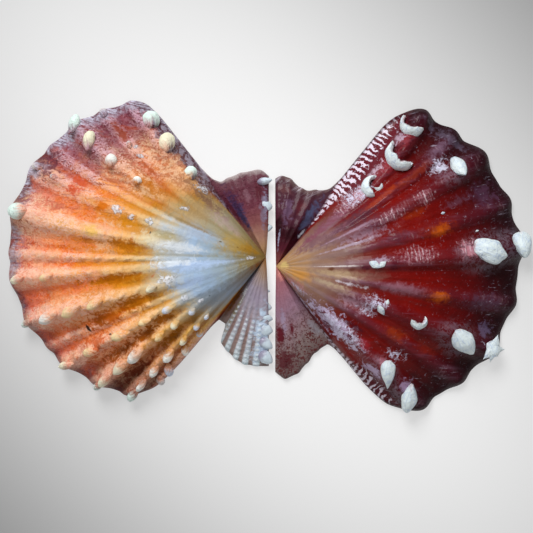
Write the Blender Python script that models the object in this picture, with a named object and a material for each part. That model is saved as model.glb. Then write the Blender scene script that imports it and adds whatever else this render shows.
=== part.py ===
# The two valves of one knobby scallop shell, lying hollow side down with their
# hinge margins side by side. The byssal valve spreads towards -X, the other
# towards +X, and both rest on z = 0. Metres, +Z up.
#
# A valve grows outwards from its umbo, so every point of it is given by two
# numbers: the angle of its growth ray, measured where the ray meets the margin
# (0 straight away from the hinge, positive towards +Y), and the growth, 0 at the
# umbo and 1 at the margin.

import bpy
import bmesh
import numpy as np
from math import pi, radians
from mathutils import Matrix, Vector

# ---- Driving dimensions, in metres -----------------------------------------
MM = 0.001
HINGE_WALL = 1.25 * MM        # thickness of a valve at its hinge margin
RIM_WALL = 0.75 * MM          # thickness of a valve at its free margin
SHELL_WALL = 1.30 * MM        # wall over the hollow, between two ribs
FLANK_INSET = 1.035           # thickens the steep flanks, as a share of their angle
RIB_GROWTH = 0.85             # how fast a rib rises away from the umbo
SPIRAL = 0.55                 # pitch of the growth spiral seen in section
VAULT_PEAK = 0.193            # highest value of the spiral's profile
VAULT_FLANK = 2.4             # how squarely the vault falls away to its flanks
VAULT_CROWN = 0.6             # how broad its crown is
EAR_SWELL = 0.15              # height of the ears' crown as a share of the vault
EAR_RISE = 0.15               # share of a flank's angle over which that crown comes up
DRIFT_POWER = 0.75            # how a ray's bend is spread over its length
SMALLEST_GROWTH = 0.000001    # keeps the spiral finite at the umbo
SLIVER = 0.006 * MM           # edges and triangles thinner than this are closed up
MERGE = 0.0001 * MM           # corners closer than this are one
ANGLE_STEP = 0.5              # the slope of the outer face is taken over these steps
GROWTH_STEP = 0.01

OUTER_ROWS = 12
ROW_CROWDING = 1.25           # above 1 the rows crowd towards the umbo
INNER_ROWS = (0.0, 0.09, 0.22, 0.40, 0.62, 0.84, 0.95, 1.0)
ARC_POINTS = 13
COLUMNS = {"orange_valve": 94, "red_valve": 84}

# A disc's free margin is one arc: (radius, how far out its centre lies from the
# umbo, how far up), in mm, kept between the two shoulder angles. An ear is its
# corners from the shoulder or the hinge, as (angle in degrees, reach in mm).
# A rib is (angle, half width in degrees, height in mm) at the margin, and a
# bend is (angle at the margin, degrees by which the ray turns at the umbo).
ORANGE_VALVE = {
    "name": "orange_valve",
    "side": -1,
    "umbo": (-0.56, -0.24),
    "vault": 8.4,
    "hinge_shift": 0.45,
    "flanks": (-52.4, 54.4),
    "lobe": 0.55,
    "margin": (23.5, 17.5, 1.4),
    "shoulders": (-46, 50),
    "lower_ear": [
        (-90, 17.5), (-80, 17.5), (-66, 16), (-62.5, 15.5), (-58.5, 12.5), (-53.5, 12.5),
        (-52, 14), (-51, 22), (-49.5, 27),
    ],
    "upper_ear": [
        (52, 31), (53, 28), (53.5, 22), (54, 17.5), (56, 15), (60, 14), (85, 14), (90, 13),
    ],
    "ribs": [
        (-84.0, 2.6, 0.22), (-78.5, 2.6, 0.25), (-73.0, 2.6, 0.27), (-67.0, 2.8, 0.27),
        (-61.0, 2.8, 0.22), (-50.2, 2.6, 0.80), (-45.0, 3.0, 0.95), (-37.0, 4.0, 1.05),
        (-28.0, 4.2, 1.05), (-22.5, 2.4, 0.40), (-15.3, 4.6, 1.10), (-5.0, 4.6, 1.00),
        (0.8, 2.6, 0.40), (10.5, 5.0, 1.05), (21.0, 4.4, 0.90), (27.2, 2.6, 0.40),
        (35.5, 4.2, 0.95), (42.0, 3.0, 0.60), (49.3, 3.4, 0.90), (64.0, 3.4, 0.18),
        (73.0, 3.6, 0.20), (83.0, 3.6, 0.18),
    ],
    "bends": [
        (-90.0, 0.0), (-57.0, 0.0), (-50.0, 1.5), (-37.0, 1.5), (-26.0, 0.0),
        (-8.0, 0.0), (0.0, -2.5), (10.5, -5.2), (21.0, -6.6), (35.5, -9.5),
        (42.0, -8.5), (50.0, -6.5), (58.0, -1.5), (66.0, 0.0), (90.0, 0.0),
    ],
}

RED_VALVE = {
    "name": "red_valve",
    "side": 1,
    "umbo": (1.04, -1.68),
    "vault": 7.8,
    "hinge_shift": 0.12,
    "flanks": (-54.6, 54.2),
    "lobe": 1.15,
    "margin": (24.8, 14.0, 1.1),
    "shoulders": (-47, 48),
    "lower_ear": [
        (-90, 17), (-85, 18), (-62, 15), (-57, 15), (-55, 16), (-54, 18), (-53, 24),
        (-51, 28.5),
    ],
    "upper_ear": [
        (51, 31), (52.5, 28), (53, 22), (53.5, 17.5), (55.5, 15), (60, 14), (70, 13),
        (86, 14.5), (90, 14),
    ],
    "ribs": [
        (-85.0, 2.8, 0.20), (-78.0, 3.0, 0.24), (-71.0, 3.0, 0.24), (-64.0, 3.0, 0.20),
        (-44.5, 5.6, 1.30), (-32.0, 4.2, 0.75), (-21.3, 5.8, 1.45), (-9.0, 4.4, 0.80),
        (5.2, 6.0, 1.50), (15.8, 4.0, 0.75), (28.6, 5.6, 1.35), (37.3, 4.0, 0.70),
        (46.5, 4.8, 1.25), (63.0, 3.2, 0.20), (71.0, 3.4, 0.22), (80.0, 3.4, 0.20),
    ],
    "bends": [
        (-90.0, 0.0), (-44.0, 0.5), (-21.0, 0.5), (-9.0, -2.0), (5.0, -6.0),
        (16.0, -6.0), (28.0, -6.5), (37.0, -9.5), (46.5, -12.0), (52.0, -9.0),
        (58.0, -2.5), (66.0, 0.0), (90.0, 0.0),
    ],
}

# Scales and knobs stand on the crests: (rib angle, growths, width in mm). The
# last number says how far a scale leans out over the margin: 1 stands upright
# as a dome, 2 lies along the rib as a hooded scale.
ORANGE_SCALES = [
    (49.3, (0.55, 0.74, 0.88), 2.7, 1.2),
    (42.0, (0.79, 0.98), 1.5, 1.1),
    (35.5, (0.62, 0.76, 0.89, 0.99), 2.1, 1.3),
    (21.0, (0.56, 0.89, 0.96), 1.7, 1.2),
    (10.5, (0.47, 0.66, 0.78), 1.9, 1.5),
    (10.5, (0.96,), 3.0, 1.1),
    (-5.0, (0.60, 0.75, 0.84, 0.96), 1.6, 1.7),
    (-15.3, (0.46, 0.59, 0.69), 1.5, 1.7),
    (-15.3, (0.79, 0.89), 2.1, 1.8),
    (-15.3, (0.99,), 1.3, 1.5),
    (-28.0, (0.47, 0.58, 0.70, 0.77, 0.85, 0.98), 1.7, 1.7),
    (-37.0, (0.42, 0.52, 0.61), 1.4, 1.3),
    (-37.0, (0.75, 0.84, 0.94), 1.9, 1.8),
    (-37.0, (0.99,), 1.3, 1.7),
    (-45.0, (0.43, 0.49, 0.60, 0.71, 0.82, 0.92, 0.99), 1.5, 1.5),
    (-50.2, (0.58, 0.71, 0.86, 0.93), 1.5, 1.4),
]
SCALE_SIDES, SCALE_RINGS = 6, 3
SCALE_YOUNG = 0.75            # size of a scale at the umbo as a share of one at the margin
SCALE_HEIGHT = 0.55           # height of a scale as a share of its width
SCALE_TILT = 14               # degrees by which a lean of 2 tips it over the margin

# Knobs of the other valve: (angle, growth, width, length, height) in mm.
RED_KNOBS = [
    (30.0, 0.87, 3.0, 4.2, 1.7),
    (5.5, 0.85, 4.4, 4.8, 2.4),
    (5.5, 0.97, 3.1, 4.2, 1.9),
    (-22.0, 0.84, 3.8, 4.8, 2.2),
    (-21.0, 0.97, 3.0, 3.2, 1.7),
    (-44.0, 0.75, 2.6, 4.2, 1.9),
    (-45.0, 0.91, 2.9, 4.8, 2.0),
]
RED_FLAKES = [
    (5.0, 0.39, 1.3, 2.2, 0.6),
    (-23.0, 0.47, 1.3, 1.9, 0.6),
]
KNOB_SIDES, KNOB_RINGS = 8, 4
KNOB_LEAN = 1.6

# Knobs broken open into a hollow cup: (angle, growth, outer width in mm).
RED_CUPS = [
    (46.5, 0.57, 3.2),
    (46.0, 0.76, 4.0),
    (47.0, 0.93, 3.8),
    (-21.5, 0.63, 2.6),
]
CUP_SIDES = 8
CUP_HEIGHT = 1.15
CUP_BASE = 0.8                # how far a cup's foot is sunk in the shell, in mm
CUP_MOUTH = 0.84              # width of a cup's rim as a share of its foot
CUP_WALL = 0.13               # thickness of its wall as a share of its width
CUP_FLOOR = 0.55              # depth of its floor under the rim as a share of its height

# Teeth along the byssal valve's hinge margin: (side of the umbo, growth, width
# in mm, reach past the margin in mm, how far the tip leans outwards in degrees).
HINGE_TEETH = [
    (-90.0, 0.31, 0.8, 0.40, 5),
    (-90.0, 0.46, 1.5, 0.55, 10),
    (-90.0, 0.56, 1.4, 0.68, 10),
    (-90.0, 0.67, 1.9, 0.68, 12),
    (-90.0, 0.81, 1.5, 0.68, 38),
    (-90.0, 0.94, 1.6, 0.70, 40),
    (90.0, 0.36, 1.1, 0.75, 8),
    (90.0, 0.62, 1.7, 0.60, 0),
    (90.0, 0.94, 1.3, 0.55, 10),
]
TOOTH_ROOT = 1.0              # how deep a tooth stands in the margin, in mm
TOOTH_SIDES = 8
TOOTH_FOOT = 0.62             # radius of its foot as a share of its width
TOOTH_TIP = 0.16              # radius of its tip as a share of its width
TOOTH_DEPTH = 0.76            # its thickness as a share of the hinge wall


# ---- The growth law ----------------------------------------------------------
def smooth_through(x, points):
    """A curve through (x, y) points that never overshoots between two of them."""
    xs, ys = np.array(points, float).T
    gap = np.diff(xs)
    slope = np.diff(ys) / gap
    tangent = np.concatenate([slope[:1], np.zeros(len(xs) - 2), slope[-1:]])
    before, after = slope[:-1], slope[1:]
    rising = before * after > 0
    mean = 2 * before * after / np.where(rising, before + after, 1.0)
    tangent[1:-1] = np.where(rising, mean, 0.0)
    i = np.clip(np.searchsorted(xs, x) - 1, 0, len(gap) - 1)
    t = (x - xs[i]) / gap[i]
    start = (1 + 2 * t) * (1 - t) ** 2 * ys[i] + t * (1 - t) ** 2 * gap[i] * tangent[i]
    end = t ** 2 * (3 - 2 * t) * ys[i + 1] + t ** 2 * (t - 1) * gap[i] * tangent[i + 1]
    return start + end


def rib_height(valve, angle):
    """Height of the ribs over the grooves at the margin, in mm."""
    height = np.zeros_like(angle)
    for middle, half_width, crest in valve["ribs"]:
        across = np.clip((angle - middle) / half_width, -1, 1)
        height = np.maximum(height, crest * 0.5 * (1 + np.cos(pi * across)))
    return height


def margin_arc(valve, angle):
    """Distance from the umbo to the arc of the free margin, in mm."""
    radius, out, up = valve["margin"]
    ahead = out * np.cos(np.radians(angle)) + up * np.sin(np.radians(angle))
    aside = out * np.sin(np.radians(angle)) - up * np.cos(np.radians(angle))
    return ahead + np.sqrt(radius ** 2 - aside ** 2)


def outline(valve):
    """The whole outline between the ribs, from one hinge corner to the other."""
    along = np.linspace(*valve["shoulders"], ARC_POINTS)
    arc = [(angle, margin_arc(valve, angle)) for angle in along]
    return valve["lower_ear"] + arc + valve["upper_ear"]


def plan(valve, angle, growth):
    """Where a point lies seen from above, in mm."""
    crest = max(rib[2] for rib in valve["ribs"])
    lobe = valve["lobe"] * rib_height(valve, angle) / crest
    reach = (smooth_through(angle, outline(valve)) + lobe) * growth
    bend = np.interp(angle, *np.array(valve["bends"]).T)
    turned = np.radians(angle + bend * (1 - growth) ** DRIFT_POWER)
    hinge = np.clip((np.abs(angle) - 72) / 18, 0, 1) ** 2
    shift = valve["hinge_shift"] * hinge * (1 - (1 - growth) ** 3)
    away = valve["side"] * (np.cos(turned) * reach - shift)
    x, y = valve["umbo"]
    return x + away, y + np.sin(turned) * reach


def flank_share(valve, angle):
    """0 on the disc's middle ray, 1 where its flanks meet the ears, more on the ears."""
    low, high = valve["flanks"]
    return np.where(angle < 0, angle / low, angle / high)


def vault(valve, angle, growth, inset=1.0):
    """Height of the outer face over the rim, without ribs or thickness, in mm.
    An inset above 1 draws the flanks in towards the disc's middle ray."""
    share = flank_share(valve, angle) * inset
    disc = (1 - np.clip(share, 0, 1) ** VAULT_FLANK) ** VAULT_CROWN
    ears = EAR_SWELL * np.clip((share - 1) / EAR_RISE, 0, 1)
    inwards = np.log(1 / np.maximum(growth, SMALLEST_GROWTH))
    section = growth * np.sin(np.minimum(SPIRAL * inwards, pi)) / VAULT_PEAK
    return valve["vault"] * np.maximum(disc, ears) * section


def outer_height(valve, angle, growth):
    wall = (HINGE_WALL + (RIM_WALL - HINGE_WALL) * growth) / MM
    ribs = rib_height(valve, angle) * growth ** RIB_GROWTH
    return wall + vault(valve, angle, growth) + ribs


def inner_height(valve, angle, growth):
    wall = (HINGE_WALL + (RIM_WALL - HINGE_WALL) * growth) / MM
    roof = wall + vault(valve, angle, growth, FLANK_INSET) - SHELL_WALL / MM
    on_disc = flank_share(valve, angle) * FLANK_INSET < 1
    return np.where(on_disc, np.maximum(roof, 0.0), 0.0)


def metres(valve, angle, growth, height):
    x, y = plan(valve, angle, growth)
    place = np.stack([x, y, height], axis=-1)
    return place * MM


def surface_frame(valve, angle, growth):
    """Axes on the outer face: X across the rib, Y outwards along it, Z off the shell."""
    angles = np.array([angle, angle, angle, angle - ANGLE_STEP, angle + ANGLE_STEP])
    high = min(growth + GROWTH_STEP, 1.0)
    growths = np.array([growth, growth - GROWTH_STEP, high, growth, growth])
    heights = outer_height(valve, angles, growths)
    points = [Vector(p) for p in metres(valve, angles, growths, heights)]
    along = (points[2] - points[1]).normalized()
    across = (points[4] - points[3]).normalized()
    normal = across.cross(along)
    if normal.z < 0:
        normal.negate()
    normal.normalize()
    across = along.cross(normal)
    frame = Matrix((across, along, normal)).transposed().to_4x4()
    frame.translation = points[0]
    return frame


# ---- Meshes -------------------------------------------------------------------
def column_angles(valve):
    """Growth rays spaced evenly along the margin, with one on each rib's crest."""
    fine = np.linspace(-90, 90, 3601)
    x, y = plan(valve, fine, np.ones_like(fine))
    run = np.concatenate([[0], np.cumsum(np.hypot(np.diff(x), np.diff(y)))])
    count = COLUMNS[valve["name"]]
    angles = np.interp(np.linspace(0, run[-1], count + 1), run, fine)
    for middle, _half_width, _crest in valve["ribs"]:
        nearest = int(np.argmin(np.abs(angles - middle)))
        angles[nearest] = middle
    return np.sort(angles)


def add_sheet(bm, valve, angles, growths, height):
    """A grid laid over the growth law. Gives its corners as rows from umbo to margin."""
    grid = bmesh.ops.create_grid(
        bm, x_segments=len(angles) - 1, y_segments=len(growths) - 1, size=1
    )
    verts = sorted(grid["verts"], key=lambda v: (round(v.co.y, 5), v.co.x))
    width = len(angles)
    rows = [verts[i * width:(i + 1) * width] for i in range(len(growths))]
    for row, growth in zip(rows, growths):
        steady = np.full(width, growth)
        heights = height(valve, angles, steady)
        for vert, place in zip(row, metres(valve, angles, steady, heights)):
            vert.co = place
    return rows


def make_shell(valve):
    bm = bmesh.new()
    angles = column_angles(valve)
    outer_growths = np.linspace(0, 1, OUTER_ROWS + 1) ** ROW_CROWDING
    outer = add_sheet(bm, valve, angles, outer_growths, outer_height)
    inner = add_sheet(bm, valve, angles, np.array(INNER_ROWS), inner_height)

    # Three strips close the valve between its sheets: the free margin and the
    # two halves of the hinge, whose rows are met one for one or fanned.
    for top, bottom in (
        (outer[-1], inner[-1]),
        ([row[0] for row in outer], [row[0] for row in inner]),
        ([row[-1] for row in outer], [row[-1] for row in inner]),
    ):
        fill_strip(bm, top, bottom)

    bmesh.ops.remove_doubles(bm, verts=bm.verts, dist=MERGE)
    bmesh.ops.dissolve_degenerate(bm, edges=bm.edges, dist=MERGE)
    bmesh.ops.triangulate(bm, faces=bm.faces)
    bmesh.ops.recalc_face_normals(bm, faces=bm.faces)
    if bm.calc_volume(signed=True) < 0:
        bmesh.ops.reverse_faces(bm, faces=bm.faces)
    return bm


def fill_strip(bm, top, bottom):
    """Joins two rows of corners that share their ends, taking the nearer one each time."""
    i = j = 0
    while i < len(top) - 1 or j < len(bottom) - 1:
        step_top = j == len(bottom) - 1
        if i < len(top) - 1 and not step_top:
            ahead_top = (top[i + 1].co - bottom[j].co).length
            ahead_bottom = (bottom[j + 1].co - top[i].co).length
            step_top = ahead_top <= ahead_bottom
        corners = [top[i], bottom[j]]
        if step_top:
            i += 1
            corners.append(top[i])
        else:
            j += 1
            corners.append(bottom[j])
        if len({tuple(round(c, 8) for c in v.co) for v in corners}) == 3:
            bm.faces.new(corners)


def add_dome(bm, frame, width, length, height, lean, sides, rings):
    """A rounded knob, sunk by its lower half and leaning out along the rib."""
    shape = Matrix.Diagonal((width * 0.5 * MM, length * 0.5 * MM, height * MM, 1))
    tilt = Matrix.Rotation(radians(-SCALE_TILT * (lean - 1)), 4, "X")
    bmesh.ops.create_uvsphere(
        bm, u_segments=sides, v_segments=rings, radius=1, matrix=frame @ tilt @ shape
    )


def add_cup(bm, frame, width):
    """A hollow knob broken open: a short tube with a floor."""
    sunk = frame @ Matrix.Translation((0, 0, -CUP_BASE * MM))
    depth = (CUP_BASE + CUP_HEIGHT) * MM
    made = bmesh.ops.create_cone(
        bm, cap_ends=True, segments=CUP_SIDES, depth=depth,
        radius1=width * 0.5 * MM, radius2=width * 0.5 * CUP_MOUTH * MM,
        matrix=sunk @ Matrix.Translation((0, 0, depth / 2)),
    )
    lid = max(
        {face for vert in made["verts"] for face in vert.link_faces},
        key=lambda face: (frame.inverted() @ face.calc_center_median()).z,
    )
    bmesh.ops.inset_individual(bm, faces=[lid], thickness=width * CUP_WALL * MM)
    floor = frame.to_3x3() @ Vector((0, 0, -CUP_HEIGHT * CUP_FLOOR * MM))
    bmesh.ops.translate(bm, verts=lid.verts[:], vec=floor)


def helper(name, bm):
    """Lumps to be fused to a valve. They stay hidden and are not a piece."""
    bmesh.ops.recalc_face_normals(bm, faces=bm.faces)
    mesh = bpy.data.meshes.new(name)
    bm.to_mesh(mesh)
    bm.free()
    obj = bpy.data.objects.new(name, mesh)
    bpy.context.scene.collection.objects.link(obj)
    obj.hide_render = True
    obj.display_type = "WIRE"
    return obj


def orange_lumps(valve):
    bm = bmesh.new()
    for angle, growths, width, lean in ORANGE_SCALES:
        for growth in growths:
            frame = surface_frame(valve, angle, growth)
            size = width * (SCALE_YOUNG + (1 - SCALE_YOUNG) * growth)
            add_dome(
                bm, frame, size, size * lean, size * SCALE_HEIGHT, lean,
                SCALE_SIDES, SCALE_RINGS,
            )
    for angle, growth, width, reach, lean in HINGE_TEETH:
        add_tooth(bm, valve, angle, growth, width, reach, lean)
    return helper("orange_scales", bm)


def add_tooth(bm, valve, angle, growth, width, reach, lean):
    """A blunt flattened cone that stands out from the hinge margin."""
    middle = np.array([0.5 * HINGE_WALL / MM])
    foot = metres(valve, np.array([angle]), np.array([growth]), middle)[0]
    length = (TOOTH_ROOT + reach) * MM
    turn = Matrix.Rotation(radians(lean * np.sign(angle)), 4, "Z")
    flat = Matrix.Diagonal((1.0, 1.0, TOOTH_DEPTH * HINGE_WALL / (width * MM), 1.0))
    stand = Matrix.Rotation(radians(90), 4, "Y")
    sunk = Matrix.Translation((length / 2 - TOOTH_ROOT * MM, 0, 0))
    bmesh.ops.create_cone(
        bm, cap_ends=True, segments=TOOTH_SIDES, depth=length,
        radius1=TOOTH_FOOT * width * MM, radius2=TOOTH_TIP * width * MM,
        matrix=Matrix.Translation(Vector(foot)) @ turn @ flat @ sunk @ stand,
    )


def red_lumps(valve):
    bm = bmesh.new()
    for angle, growth, width, length, height in RED_KNOBS:
        frame = surface_frame(valve, angle, growth)
        add_dome(bm, frame, width, length, height, KNOB_LEAN, KNOB_SIDES, KNOB_RINGS)
    for angle, growth, width, length, height in RED_FLAKES:
        frame = surface_frame(valve, angle, growth)
        add_dome(bm, frame, width, length, height, KNOB_LEAN, SCALE_SIDES, SCALE_RINGS)
    for angle, growth, width in RED_CUPS:
        add_cup(bm, surface_frame(valve, angle, growth), width)
    return helper("red_knobs", bm)


# ---- The two valves -----------------------------------------------------------
def shell_material(name, colour, roughness):
    material = bpy.data.materials.new(name)
    material.use_nodes = True
    shader = material.node_tree.nodes["Principled BSDF"]
    shader.inputs["Base Color"].default_value = (*colour, 1.0)
    shader.inputs["Roughness"].default_value = roughness
    shader.inputs["Metallic"].default_value = 0.0
    return material


def make_valve(valve, lumps, material):
    bm = make_shell(valve)
    mesh = bpy.data.meshes.new(valve["name"])
    bm.to_mesh(mesh)
    bm.free()
    mesh.materials.append(material)
    obj = bpy.data.objects.new(valve["name"], mesh)
    bpy.context.scene.collection.objects.link(obj)
    fuse = obj.modifiers.new("fuse lumps", "BOOLEAN")
    fuse.operation = "UNION"
    fuse.solver = "EXACT"
    fuse.use_self = True          # neighbouring scales overlap at their feet
    fuse.object = lumps
    graph = bpy.context.evaluated_depsgraph_get()
    fused = bpy.data.meshes.new_from_object(obj.evaluated_get(graph))
    obj.modifiers.clear()
    obj.data = fused
    drop_slivers(fused)
    return obj


def drop_slivers(mesh):
    """Takes out the hair-thin triangles that a union leaves along its seams."""
    bm = bmesh.new()
    bm.from_mesh(mesh)
    bmesh.ops.triangulate(bm, faces=bm.faces)
    bmesh.ops.remove_doubles(bm, verts=bm.verts, dist=SLIVER)
    bmesh.ops.dissolve_degenerate(bm, edges=bm.edges, dist=SLIVER)
    bmesh.ops.triangulate(bm, faces=bm.faces)
    bm.to_mesh(mesh)
    bm.free()


def main():
    for obj in list(bpy.data.objects):
        bpy.data.objects.remove(obj)
    orange = shell_material("orange_shell", (0.66, 0.22, 0.07), 0.42)
    red = shell_material("red_shell", (0.16, 0.012, 0.015), 0.28)
    make_valve(ORANGE_VALVE, orange_lumps(ORANGE_VALVE), orange)
    make_valve(RED_VALVE, red_lumps(RED_VALVE), red)


main()
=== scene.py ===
import math

import bmesh
import bpy
import numpy as np
from mathutils import Matrix, Vector, noise


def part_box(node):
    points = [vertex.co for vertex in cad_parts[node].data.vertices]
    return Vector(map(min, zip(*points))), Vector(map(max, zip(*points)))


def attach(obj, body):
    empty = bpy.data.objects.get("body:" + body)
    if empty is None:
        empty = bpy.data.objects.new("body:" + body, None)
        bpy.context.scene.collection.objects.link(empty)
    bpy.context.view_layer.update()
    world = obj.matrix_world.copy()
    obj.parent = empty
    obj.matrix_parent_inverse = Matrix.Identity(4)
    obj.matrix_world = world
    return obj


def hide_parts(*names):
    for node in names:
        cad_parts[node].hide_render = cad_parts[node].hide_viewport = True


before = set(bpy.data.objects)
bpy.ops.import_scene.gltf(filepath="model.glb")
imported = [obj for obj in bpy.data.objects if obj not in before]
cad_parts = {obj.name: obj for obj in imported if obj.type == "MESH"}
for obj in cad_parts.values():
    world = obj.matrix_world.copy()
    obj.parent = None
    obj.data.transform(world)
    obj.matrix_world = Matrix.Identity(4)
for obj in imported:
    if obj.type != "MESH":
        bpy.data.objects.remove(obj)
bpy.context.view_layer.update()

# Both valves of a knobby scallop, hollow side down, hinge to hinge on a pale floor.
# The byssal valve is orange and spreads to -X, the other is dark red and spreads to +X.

mm = 0.001
redLow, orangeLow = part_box("red_valve")[0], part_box("orange_valve")[0]

bpy.context.scene.view_settings.view_transform = "Standard"


# The growth law. A point of a valve is an angle, measured where its growth ray meets
# the margin, and a growth from 0 at the umbo to 1 at the margin. Lengths are in mm.
law = {
    "hingeWall": 1.25,
    "rimWall": 0.75,
    "shellWall": 1.30,
    "flankInset": 1.035,
    "ribGrowth": 0.85,
    "spiral": 0.55,
    "vaultPeak": 0.193,
    "earSwell": 0.15,
    "driftPower": 0.75,
    "discPowers": (2.4, 0.6),    # roundness of the vault from flank to flank
    "earStep": 0.15,         # share of the disc's width over which an ear comes up
    "hingeFrom": 72,         # angle from which the rays give way to the straight hinge
    "edgeRound": 0.45,       # how far the hinge edge is rounded over
    "edgeDrop": 0.38,
    "rimRound": 0.975,       # growth from which the rim rounds over
    "rimDrop": 0.72,
    "innerFolds": 0.55,      # how much of the ribs shows on the hollow side
    "unevenSize": 0.35,      # bumps of the uneven surface in a mm
    "ribletSize": (0.62, 3.2),   # riblets in a degree, and their breaks along a ray
    "restWidth": 0.02,       # growth over which a growth rest steps down
    "knotHeight": 0.38,
    "beadHeight": 0.16,
    "outerRows": 122,
    "innerRows": 34,
    "columns": 540,
    "arcPoints": 13,
    "rimSamples": 3601,      # angles at which the margin's length is summed
}

orangeValve = {
    "node": "orange_valve",
    "side": -1,
    # the umbo, from the hinge side of the red valve and the valve's own lowest corner
    "umbo": (redLow.x / mm - 1.48, orangeLow.y / mm + 22.737),
    "vault": 8.4,
    "hingeShift": 0.45,
    "flanks": (-52.4, 54.4),
    "lobe": 0.55,
    "margin": (23.5, 17.5, 1.4),           # arc of the free margin: radius, centre out and up
    "shoulders": (-46, 50),                # angles between which the margin is that arc
    "lowerEar": [                          # (angle, reach) from the hinge to the shoulder
        (-90, 17.5), (-80, 17.5), (-66, 16), (-62.5, 15.5), (-58.5, 12.5), (-53.5, 12.5),
        (-52, 14), (-51, 22), (-49.5, 27),
    ],
    "upperEar": [
        (52, 31), (53, 28), (53.5, 22), (54, 17.5), (56, 15), (60, 14), (85, 14), (90, 13),
    ],
    "ribs": [                # (angle, half width, height in mm)
        (-84.0, 2.6, 0.22), (-78.5, 2.6, 0.25), (-73.0, 2.6, 0.27), (-67.0, 2.8, 0.27),
        (-61.0, 2.8, 0.22), (-50.2, 2.6, 0.80), (-45.0, 3.0, 0.95), (-37.0, 4.0, 1.05),
        (-28.0, 4.2, 1.05), (-22.5, 2.4, 0.40), (-15.3, 4.6, 1.10), (-5.0, 4.6, 1.00),
        (0.8, 2.6, 0.40), (10.5, 5.0, 1.05), (21.0, 4.4, 0.90), (27.2, 2.6, 0.40),
        (35.5, 4.2, 0.95), (42.0, 3.0, 0.60), (49.3, 3.4, 0.90), (64.0, 3.4, 0.18),
        (73.0, 3.6, 0.20), (83.0, 3.6, 0.18),
    ],
    "bends": [               # (angle, degrees by which its ray turns at the umbo)
        (-90.0, 0.0), (-57.0, 0.0), (-50.0, 1.5), (-37.0, 1.5), (-26.0, 0.0),
        (-8.0, 0.0), (0.0, -2.5), (10.5, -5.2), (21.0, -6.6), (35.5, -9.5),
        (42.0, -8.5), (50.0, -6.5), (58.0, -1.5), (66.0, 0.0), (90.0, 0.0),
    ],
    "ribRise": (0.10, 0.78),               # growths between which the ribs come up
    "rests": [0.45, 0.63, 0.79, 0.92],     # growths at which the shell paused
    "restHeight": 0.04,
    "riblets": 0.16,
    "unevenness": 0.13,
    "seed": 3.0,
    "beads": 0.80,                         # spacing of the beads on the byssal ear
    "knots": 2.4,                          # spacing of the soft knots along the ribs
    "swellings": [],                       # filled in by the scales that stand on them
}

redValve = {
    "node": "red_valve",
    "side": 1,
    "umbo": (redLow.x / mm + 0.12, redLow.y / mm + 23.124),
    "vault": 7.8,
    "hingeShift": 0.12,
    "flanks": (-54.6, 54.2),
    "lobe": 1.15,
    "margin": (24.8, 14.0, 1.1),
    "shoulders": (-47, 48),
    "lowerEar": [
        (-90, 17), (-85, 18), (-62, 15), (-57, 15), (-55, 16), (-54, 18), (-53, 24),
        (-51, 28.5),
    ],
    "upperEar": [
        (51, 31), (52.5, 28), (53, 22), (53.5, 17.5), (55.5, 15), (60, 14), (70, 13),
        (86, 14.5), (90, 14),
    ],
    "ribs": [
        (-85.0, 2.8, 0.20), (-78.0, 3.0, 0.24), (-71.0, 3.0, 0.24), (-64.0, 3.0, 0.20),
        (-44.5, 5.6, 1.30), (-32.0, 4.2, 0.75), (-21.3, 5.8, 1.45), (-9.0, 4.4, 0.80),
        (5.2, 6.0, 1.50), (15.8, 4.0, 0.75), (28.6, 5.6, 1.35), (37.3, 4.0, 0.70),
        (46.5, 4.8, 1.25), (63.0, 3.2, 0.20), (71.0, 3.4, 0.22), (80.0, 3.4, 0.20),
    ],
    "bends": [
        (-90.0, 0.0), (-44.0, 0.5), (-21.0, 0.5), (-9.0, -2.0), (5.0, -6.0),
        (16.0, -6.0), (28.0, -6.5), (37.0, -9.5), (46.5, -12.0), (52.0, -9.0),
        (58.0, -2.5), (66.0, 0.0), (90.0, 0.0),
    ],
    "ribRise": (0.04, 0.50),
    "rests": [0.38, 0.57, 0.76, 0.90],
    "restHeight": 0.06,
    "riblets": 0.12,
    "unevenness": 0.14,
    "seed": 11.0,
    "beads": 0,
    "knots": 0,
    "swellings": [],
}


def smoothThrough(x, points):
    # a curve through the points that never overshoots between two of them
    xs, ys = np.array(points, float).T
    gap = np.diff(xs)
    slope = np.diff(ys) / gap
    before, after = slope[:-1], slope[1:]
    rising = before * after > 0
    mean = 2 * before * after / np.where(rising, before + after, 1.0)
    tangent = np.concatenate([slope[:1], np.where(rising, mean, 0.0), slope[-1:]])
    i = np.clip(np.searchsorted(xs, x) - 1, 0, len(gap) - 1)
    t = (x - xs[i]) / gap[i]
    start = (1 + 2 * t) * (1 - t) ** 2 * ys[i] + t * (1 - t) ** 2 * gap[i] * tangent[i]
    end = t ** 2 * (3 - 2 * t) * ys[i + 1] + t ** 2 * (t - 1) * gap[i] * tangent[i + 1]
    return start + end


def marginArc(valve, angle):
    radius, out, up = valve["margin"]
    ahead = out * np.cos(np.radians(angle)) + up * np.sin(np.radians(angle))
    aside = out * np.sin(np.radians(angle)) - up * np.cos(np.radians(angle))
    return ahead + np.sqrt(radius ** 2 - aside ** 2)


for valve in (orangeValve, redValve):
    along = np.linspace(*valve["shoulders"], law["arcPoints"])
    arc = [(angle, marginArc(valve, angle)) for angle in along]
    valve["outline"] = valve["lowerEar"] + arc + valve["upperEar"]


def ribShare(valve, angle):
    # height of the ribs at the margin in mm, and the same from 0 in a groove to 1 on a crest
    height = np.zeros_like(angle)
    share = np.zeros_like(angle)
    for middle, halfWidth, crest in valve["ribs"]:
        across = np.clip((angle - middle) / halfWidth, -1, 1)
        profile = 0.5 * (1 + np.cos(np.pi * across))
        height = np.maximum(height, crest * profile)
        share = np.maximum(share, profile)
    return height, share


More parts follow.
